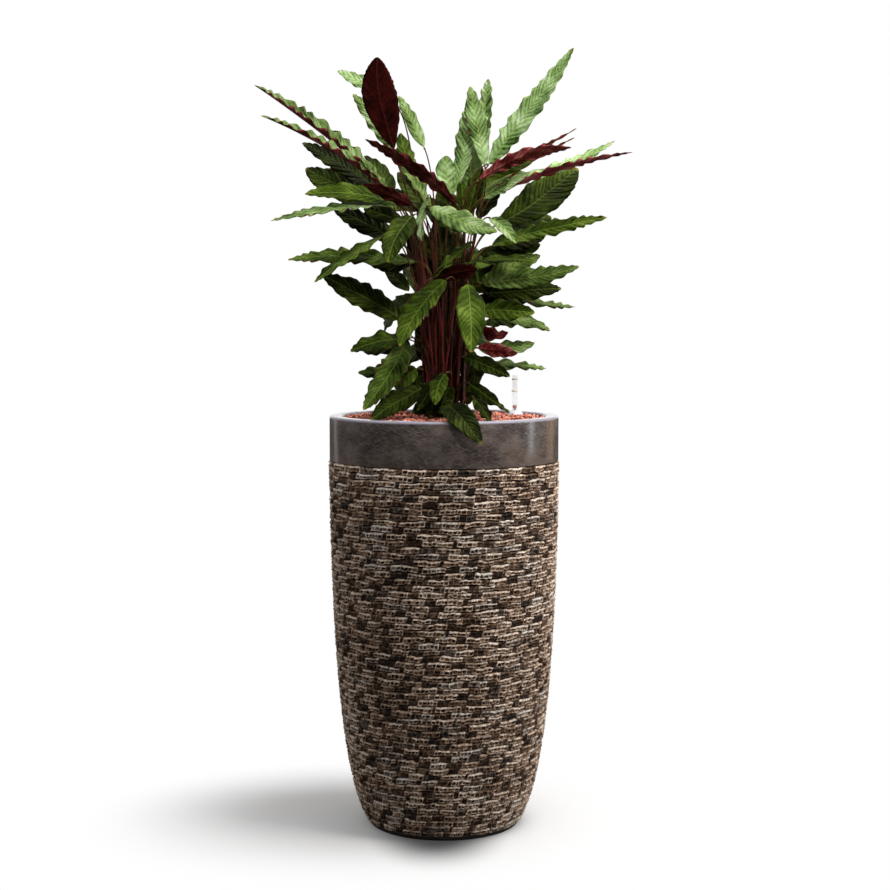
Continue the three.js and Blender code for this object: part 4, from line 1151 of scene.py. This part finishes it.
def midribAt(shape, share):
    base, bow, tip = shape["points"]
    t = share[..., None]
    place = base * (1 - t) ** 2 + 2 * bow * t * (1 - t) + tip * t ** 2
    return place, unit((bow - base) * (1 - t) + (tip - bow) * t)


def halfWidth(shape, share):
    # Half the blade's width: a half sine wave, drawn towards its widest place and filled out.
    rise = math.log(0.5) / math.log(shape["widest"])
    swell = np.sin(math.pi * np.minimum(share, 1) ** rise).clip(0) ** leaf["fullness"]
    return leaf["footHalf"] + (shape["width"] / 2 - leaf["footHalf"]) * swell


def bladeArrays(shape, number):
    # One blade as a grid with an upper and an under surface that share their rim. Its rows follow the side
    # veins: share of the way to the tip = row share + slant times the way out. Lift above the midrib's plane
    # = fold + margin waves that grow outwards + pleats, which bulge between the side veins.
    random = np.random.default_rng([leaf["seed"], number])
    length, width = shape["length"], shape["width"]
    rows = int(np.clip(length / leaf["rowStep"], *leaf["rowLimits"]))
    row = np.linspace(0, 1, rows)[:, None]
    step = np.linspace(-1, 1, leaf["acrossSteps"] + 1)
    across = (np.sign(step) * np.abs(step) ** leaf["crowding"])[None, :]
    off = np.abs(across)
    slant = min(leaf["veinSlant"] * width / 2 / length * 4, leaf["mostSlant"])
    growth = leaf["slantGrowth"]
    share = row + slant * off * (1 + growth * off) / (1 + growth) * row * (1 - row)
    place, tangent = midribAt(shape, share)
    side = unit(np.cross(tangent, shape["normal"]))
    up = np.cross(side, tangent)
    drift = random.uniform(-1, 1) * leaf["drift"] * length * np.sin(2 * math.pi * share)
    drift = drift * share * (1 - share) * 4
    place = place + side * drift[..., None]

    half = halfWidth(shape, share)
    way = row * length
    left = np.where(across < 0, 0.5, 0.0)
    wander = leaf["wander"] * np.sin(2 * math.pi * (way / leaf["wanderLength"] + random.random()))
    pleat = way / leaf["pleatLength"] + left + wander + random.random()
    waves = way / leaf["waveLength"] + left + wander * leaf["waveWander"] + random.random()
    fullness = half / (width / 2)
    swell = np.sin(2 * math.pi * (way / leaf["swellLength"] + random.random()))
    strength = shape["waviness"] * (1 - leaf["swell"] + leaf["swell"] * swell)
    bulge = np.abs(np.sin(math.pi * pleat)) ** leaf["pleatPower"] - leaf["pleatMiddle"]
    lift = off * half * math.tan(shape["fold"])
    outward = off ** leaf["wavePower"]
    lift = lift + leaf["waveHeight"] * strength * fullness * outward * np.sin(2 * math.pi * waves)
    lift = lift + leaf["pleatHeight"] * fullness * np.minimum(off * leaf["pleatFade"], 1) * bulge
    groove = np.exp(-((across * half / leaf["ribWidth"]) ** 2)) * (1 - share) ** leaf["ribFade"]
    notch = strength * np.sin(2 * math.pi * waves + leaf["scallopTurn"]) + leaf["scallopPleat"] * bulge
    scallop = 1 + leaf["scallop"] * off ** leaf["scallopPower"] * notch
    skin = 0.5 * leaf["thickness"] * np.sqrt(np.clip(1 - across ** 2, 0, 1))
    skin = skin * np.sin(math.pi * share).clip(0) ** leaf["endThin"]

    surface = place + side * (across * half * scallop)[..., None]
    upper = surface + up * (lift + skin - leaf["upperRib"] * leaf["ribHeight"] * groove)[..., None]
    under = surface + up * (lift - skin - leaf["ribHeight"] * groove)[..., None]
    rim = np.zeros(lift.shape, bool)
    rim[0], rim[-1], rim[:, 0], rim[:, -1] = True, True, True, True
    count = lift.size
    upperIndex = np.arange(count).reshape(lift.shape)
    underIndex = np.where(rim, upperIndex, count + np.cumsum(~rim).reshape(lift.shape) - 1)
    points = np.vstack([upper.reshape(-1, 3), under[~rim]])

    def quads(index, flip):
        parts = [index[:-1, :-1], index[:-1, 1:], index[1:, 1:], index[1:, :-1]]
        return np.stack(parts[::-1] if flip else parts, axis=-1).reshape(-1, 4)

    values = {
        "pleat": pleat,
        "offRib": off * half,
        "edgeShare": off + 0 * row,
        "along": share,
        "tone": np.full(lift.shape, shape["tone"]),
        # Painted light and shade: one half of the blade lighter than the other.
        "half": np.tanh(across * leaf["paintedHalfTurn"]) * random.uniform(-1, 1) + 0 * row,
    }
    values = {key: np.concatenate([value.ravel(), value[~rim]]) for key, value in values.items()}
    return points, quads(upperIndex, False), quads(underIndex, True), values


def joinBlades(name, members, upperSide, underSide):
    # One piece of some blades, each with its number: their upper sides first, then their undersides.
    parts = [bladeArrays(shape, number) for number, shape in members]
    starts = np.cumsum([0] + [len(part[0]) for part in parts])
    points = np.vstack([part[0] for part in parts])
    uppers = np.vstack([part[1] + start for part, start in zip(parts, starts)])
    unders = np.vstack([part[2] + start for part, start in zip(parts, starts)])
    values = {key: np.concatenate([part[3][key] for part in parts]) for key in parts[0][3]}
    isUnder = np.concatenate([np.zeros(len(uppers)), np.ones(len(unders))])
    return makePiece(name, points, [uppers, unders], [upperSide, underSide], isUnder, values)


def makeBlades(shapes, upperSide, underSide):
    for node in dict.fromkeys(shape["node"] for shape in shapes):
        members = [(number, shape) for number, shape in enumerate(shapes) if shape["node"] == node]
        piece = joinBlades(node.replace("leaf_", "blades_"), members, upperSide, underSide)
        settle(piece, "leaf_underside" if members[0][1]["facing"] < 0 else "leaf_blade", node)
    inner = [(len(shapes) + number, leafShape("inner", *row)) for number, row in enumerate(innerBlades)]
    piece = joinBlades("blades_inner", inner, upperSide, underSide)
    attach(piece, "root")
    print("blades:", len(shapes) + len(inner))


def pleats(tree):
    # The rise between the side veins, 0 in a vein and 1 halfway to the next, a little uneven.
    uneven = spread(tree, noise(tree, **leaf["pleatPatch"]), *leaf["pleatWobble"])
    turns = maths(tree, "MULTIPLY", maths(tree, "ADD", byAttribute(tree, "pleat"), uneven), math.pi)
    return maths(tree, "ABSOLUTE", maths(tree, "SINE", turns))


def upperMaterial():
    material, tree, shader = startMaterial("velvetGreen", Specular_IOR_Level=0.36, IOR=1.22,
                                           Specular_Tint=leaf["glossTint"])
    tone = byAttribute(tree, "tone")
    blotch = spread(tree, noise(tree, **leaf["blotch"]), *leaf["blotchShade"])
    rise = pleats(tree)
    fine = noise(tree, **leaf["fine"])
    # Painted shade: darker in the veins between the pleats and lighter on their crests.
    shade = maths(tree, "MULTIPLY_ADD", rise, leaf["pleatPaintedShade"], blotch)
    # Painted light and shade: one half of the blade lighter than the other, as on a folded blade.
    shade = maths(tree, "MULTIPLY_ADD", byAttribute(tree, "half"), leaf["paintedHalfShade"], shade)
    shade = maths(tree, "ADD", shade, spread(tree, fine, *leaf["fineShade"]))
    # The tone mixes shaded and lit copies of the green: partly painted shade and light.
    dark, middle, lime = (ramp(tree, shade, leaf[name]) for name in ("shadedGreenTones", "midTones", "litLimeTones"))
    colour = mixed(tree, between(tree, tone, *leaf["midFrom"]), dark, middle)
    colour = mixed(tree, between(tree, tone, *leaf["limeFrom"]), colour, lime)
    rib = between(tree, byAttribute(tree, "offRib"), *leaf["ribReach"])
    colour = mixed(tree, rib, colour, mixed(tree, tone, *leaf["ribTones"]))
    margin = between(tree, byAttribute(tree, "edgeShare"), *leaf["marginReach"])
    colour = mixed(tree, margin, colour, mixed(tree, tone, *leaf["marginTones"]))
    tip = between(tree, byAttribute(tree, "along"), *leaf["tipReach"])
    colour = mixed(tree, tip, colour, leaf["tipTone"])
    tree.links.new(colour, shader.inputs["Base Color"])
    tree.links.new(spread(tree, fine, *leaf["roughness"]), shader.inputs["Roughness"])
    setBump(tree, shader, maths(tree, "MULTIPLY_ADD", fine, leaf["fineBump"], rise), *leaf["bump"])
    return material


def underMaterial():
    material, tree, shader = startMaterial("burgundyUnderside", Specular_IOR_Level=0.40, IOR=1.22,
                                           Roughness=0.5, Specular_Tint=leaf["redGlossTint"])
    blotch = spread(tree, noise(tree, **leaf["redBlotch"]), *leaf["redBlotchShade"])
    rise = pleats(tree)
    fine = noise(tree, **leaf["fine"])
    # Painted shade: darker in the veins between the pleats and lighter on their crests.
    shade = maths(tree, "MULTIPLY_ADD", rise, leaf["redPleatPaintedShade"], blotch)
    # The tone mixes shaded and lit copies of the red: partly painted shade and light.
    colour = mixed(tree, byAttribute(tree, "tone"), ramp(tree, shade, leaf["shadedRed"]),
                   ramp(tree, shade, leaf["litRed"]))
    rib = between(tree, byAttribute(tree, "offRib"), *leaf["redRibReach"])
    tree.links.new(mixed(tree, rib, colour, leaf["redRib"]), shader.inputs["Base Color"])
    setBump(tree, shader, maths(tree, "MULTIPLY_ADD", fine, leaf["redFineBump"], rise), *leaf["redBump"])
    return material


# Stalks and crown

stalk = {
    "spread": 0.020,
    "reach": 0.033,
    "lean": 0.22,
    "foot": 0.700,
    "goldenAngle": 2.39996,
    "firstPull": np.array([0.12, 0.12, 0.55]),
    "lastPull": 0.3,
    "longestPull": 0.060,
    "seam": np.array([0.31, 0.95, 0.04]),
    "gap": 0.00095,
    "turnBetween": 0.65,      # radians between the feet of one node's stalks
    "sides": 8,
    "steps": 34,
    "footRadius": 0.0016,
    "topRadius": 0.0011,
    "sheath": 0.0010,
    "joint": 0.0007,          # swelling below the blade
    "jointLength": 0.008,
    # From foot to top along the stalk: painted shade darkens the foot and the middle of the clump, and the
    # top turns browner.
    "redTonesWithShade": [(0.0, (0.014, 0.003, 0.002)), (0.28, (0.120, 0.016, 0.015)), (0.6, (0.038, 0.008, 0.005)),
                 (1.0, (0.060, 0.040, 0.010))],
    "glossTint": (1.00, 0.42, 0.30, 1),
    "brownTonesWithShade": [(0.0, (0.006, 0.002, 0.001)), (0.5, (0.016, 0.006, 0.003)), (1.0, (0.070, 0.052, 0.012))],
    "sheathShare": 0.42,      # the sheath's height, as a share of the stalk
    "scatter": (127.1, 311.7, 17.3, 43758.5453),
    "streak": {"scale": 60, "detail": 3, "stretch": (6, 6, 0.5)},
    "streakShade": (-0.2, 0.2),
    "brownFrom": (0.35, 0.8),
    "bump": (0.3, 0.0008),
}

crown = {
    "outline": [(0.0440, 0.690), (0.0440, 0.7065), (0.0410, 0.7120), (0.0330, 0.7190),
                (0.0220, 0.7222), (0.0100, 0.7236)],
    "foot": 0.690,
    "top": 0.724,
    "steps": 72,
    "rough": 0.0012,
    "roughFrom": 0.001,      # above the foot
    "waves": (900, 830, 1700),
    "crumb": {"scale": 320, "detail": 4},
    "soilTones": [(0.3, (0.006, 0.004, 0.003)), (0.7, (0.040, 0.026, 0.018))],
    "bump": (0.8, 0.002),
}


def scatter(first, second):
    # A value from 0 to 1 that jumps about with its two numbers: what a large sine leaves over a whole number.
    firstStep, secondStep, start, size = stalk["scatter"]
    value = math.sin(first * firstStep + second * secondStep + start) * size
    return value - math.floor(value)


def stalkPoints(shape, order, member):
    # The four control points of a stalk's cubic curve: out of its place in the crown, up, and over into the
    # direction of its blade.
    place, tangent = (part[0] for part in midribAt(shape, np.zeros(1)))
    end = place - tangent * stalk["gap"]
    ring = stalk["spread"] * math.sqrt(scatter(order, 3))
    angle = order * stalk["goldenAngle"] + member * stalk["turnBetween"]
    foot = np.array([ring * math.cos(angle), ring * math.sin(angle)]) + stalk["lean"] * end[:2]
    foot = foot * min(1.0, stalk["reach"] / np.linalg.norm(foot))
    foot = np.array([*foot, stalk["foot"]])
    rise = end[2] - foot[2]
    firstPull = foot + stalk["firstPull"] * np.array([end[0], end[1], rise])
    lastPull = end - tangent * min(stalk["lastPull"] * rise, stalk["longestPull"])
    return np.stack([foot, firstPull, lastPull, end])


def makeStalks(shapes, stalkSkin, soil):
    # Tubes along cubic curves: point = curve + radius (side cos + other sin). The radius runs from foot to
    # top, with a sheath low down and a swollen joint below the blade. The crown's mound is added last.
    order = {node: number for number, node in enumerate(dict.fromkeys(shape["node"] for shape in shapes))}
    seen, curves = {}, []
    for shape in shapes:
        member = seen.get(shape["node"], 0)
        seen[shape["node"]] = member + 1
        curves.append(stalkPoints(shape, order[shape["node"]], member))
    a, b, c, d = np.stack(curves, axis=1)[:, :, None]
    t = np.linspace(0, 1, stalk["steps"])[None, :, None]
    place = a * (1 - t) ** 3 + 3 * b * t * (1 - t) ** 2 + 3 * c * t ** 2 * (1 - t) + d * t ** 3
    tangent = unit((b - a) * (1 - t) ** 2 + 2 * (c - b) * t * (1 - t) + (d - c) * t ** 2)
    side = unit(np.cross(tangent, unit(stalk["seam"])))
    other = np.cross(side, tangent)
    share = t[..., 0]
    length = np.linalg.norm(np.diff(place, axis=1), axis=-1).sum(axis=1)[:, None]
    fromTop = (1 - share) * length
    low = np.clip(1 - share / stalk["sheathShare"], 0, 1)
    radius = stalk["footRadius"] + (stalk["topRadius"] - stalk["footRadius"]) * share
    radius = radius + stalk["sheath"] * low * low * (3 - 2 * low)
    radius = radius + stalk["joint"] * np.exp(-(fromTop / stalk["jointLength"]) ** 2)
    sides = stalk["sides"]
    angle = np.arange(sides) / sides * 2 * math.pi
    spokes = side[:, :, None] * np.cos(angle)[:, None] + other[:, :, None] * np.sin(angle)[:, None]
    tube = place[:, :, None] + spokes * radius[..., None, None]
    count, steps = tube.shape[:2]
    each = steps * sides + 2
    points = np.concatenate([tube.reshape(count, -1, 3), place[:, :1], place[:, -1:]], axis=1).reshape(-1, 3)
    quads = closedGrid(steps, sides)[:, ::-1]
    step = np.arange(sides)
    after = np.roll(step, -1)
    low, high = np.full(sides, each - 2), np.full(sides, each - 1)
    caps = np.vstack([np.stack([low, step, after], axis=-1),
                      np.stack([high, (steps - 1) * sides + after, (steps - 1) * sides + step], axis=-1)])
    starts = (np.arange(count) * each)[:, None, None]
    quads, caps = (quads + starts).reshape(-1, 4), (caps + starts).reshape(-1, 3)
    along = np.concatenate([np.repeat(share[0], sides), [0, 1]])
    along = np.tile(along, count)
    tint = np.repeat(np.random.default_rng(leaf["seed"]).random(count), each)

    outline = np.array(crown["outline"])
    moundPoints, moundFaces = revolve([(0, crown["foot"]), *outline, (0, crown["top"])], crown["steps"])
    bumpy = moundPoints[:, 2] > crown["foot"] + crown["roughFrom"]
    x, y = moundPoints[:, 0], moundPoints[:, 1]
    first, second, third = crown["waves"]
    wave = np.sin(x * first) * np.sin(y * second) + np.sin(x * third + 1)
    moundPoints[:, 2] += np.where(bumpy, 0.5 * crown["rough"] * (wave - 1), 0)
    start = len(points)
    everything = np.vstack([points, moundPoints])
    faces = [quads, caps, *(part + start for part in moundFaces)]
    moundCount = sum(len(part) for part in moundFaces)
    isSoil = np.concatenate([np.zeros(len(quads) + len(caps)), np.ones(moundCount)])
    values = {"along": np.concatenate([along, np.zeros(len(moundPoints))]),
              "tint": np.concatenate([tint, np.zeros(len(moundPoints))])}
    piece = makePiece("stalk_clump", everything, faces, [stalkSkin, soil], isSoil, values)
    settle(piece, "leaf_stalk", "leaf_stalks")
    print("stalks:", count)


def stalkMaterial():
    material, tree, shader = startMaterial("redStalk", Roughness=0.28, Specular_IOR_Level=1.0, IOR=1.3,
                                           Specular_Tint=stalk["glossTint"])
    streak = noise(tree, **stalk["streak"])
    along = maths(tree, "ADD", byAttribute(tree, "along"), spread(tree, streak, *stalk["streakShade"]))
    # Painted shade: darker at the foot and partway up the stalk.
    red = ramp(tree, along, stalk["redTonesWithShade"])
    brown = ramp(tree, along, stalk["brownTonesWithShade"])
    colour = mixed(tree, between(tree, byAttribute(tree, "tint"), *stalk["brownFrom"]), red, brown)
    tree.links.new(colour, shader.inputs["Base Color"])
    setBump(tree, shader, streak, *stalk["bump"])
    return material


def soilMaterial():
    material, tree, shader = startMaterial("darkRootball", Roughness=0.95)
    crumb = noise(tree, **crown["crumb"])
    tree.links.new(ramp(tree, crumb, crown["soilTones"]), shader.inputs["Base Color"])
    setBump(tree, shader, crumb, *crown["bump"])
    return material


def fromPlace(tree, middle, stretch):
    # The distance on the floor from a place, with each axis stretched.
    place = addNode(tree, "TexCoord").outputs["Object"]
    offset = addNode(tree, "VectorMath", {0: place, 1: middle}, operation="SUBTRACT").outputs[0]
    offset = addNode(tree, "VectorMath", {0: offset, 1: stretch}, operation="MULTIPLY").outputs[0]
    return addNode(tree, "VectorMath", {0: offset}, operation="LENGTH").outputs["Value"]


def makeFloor():
    # A wide plane that takes the shadow near the pot, with a painted contact shadow where the pot stands, and
    # is plain white further out. It sheds little light back.
    reach = studio["floorReach"]
    corners = np.array([(-1, -1, 0), (1, -1, 0), (1, 1, 0), (-1, 1, 0)], float) * reach
    material, tree, shader = startMaterial("paleFloor", Roughness=0.9, Specular_IOR_Level=0.0)
    seen = addNode(tree, "LightPath").outputs["Is Camera Ray"]
    # Painted contact shadow: the floor's colour turns dark near the pot's foot.
    paintedShadowDistance = fromPlace(tree, studio["paintedShadowMiddle"], studio["paintedShadowStretch"])
    paintedShadowFade = between(tree, paintedShadowDistance, *studio["paintedShadowReach"])
    paintedShadowFloor = mixed(tree, paintedShadowFade, studio["paintedShadowTone"], studio["floorWhite"])
    tree.links.new(mixed(tree, seen, studio["floorGrey"], paintedShadowFloor), shader.inputs["Base Color"])
    away = fromPlace(tree, studio["shadowMiddle"], studio["shadowStretch"])
    # Painted light: a share of white glow, least in the shadow and whole where the floor is plain white.
    share = between(tree, away, *studio["shadowReach"], studio["leastGlowInShadow"], 1.0)
    share = maths(tree, "MULTIPLY", share, seen)
    glow = addNode(tree, "Emission", {"Color": (1, 1, 1, 1), "Strength": 1.0}).outputs[0]
    mix = addNode(tree, "MixShader", {0: share, 1: shader.outputs[0], 2: glow})
    tree.links.new(mix.outputs[0], tree.nodes["Material Output"].inputs["Surface"])
    floor = makePiece("floor", corners, [np.array([[0, 1, 2, 3]])], [material])
    print("floor done")


makeCamera()
makeLight()
makeFloor()
makePlanter()
rimBand(glazeMaterial())
makeGranules()
finishPots()
makeGauge()
shapes = [leafShape(node, start, row) for node, (start, rows) in blades.items() for row in rows]
makeBlades(shapes, upperMaterial(), underMaterial())
makeStalks(shapes, stalkMaterial(), soilMaterial())
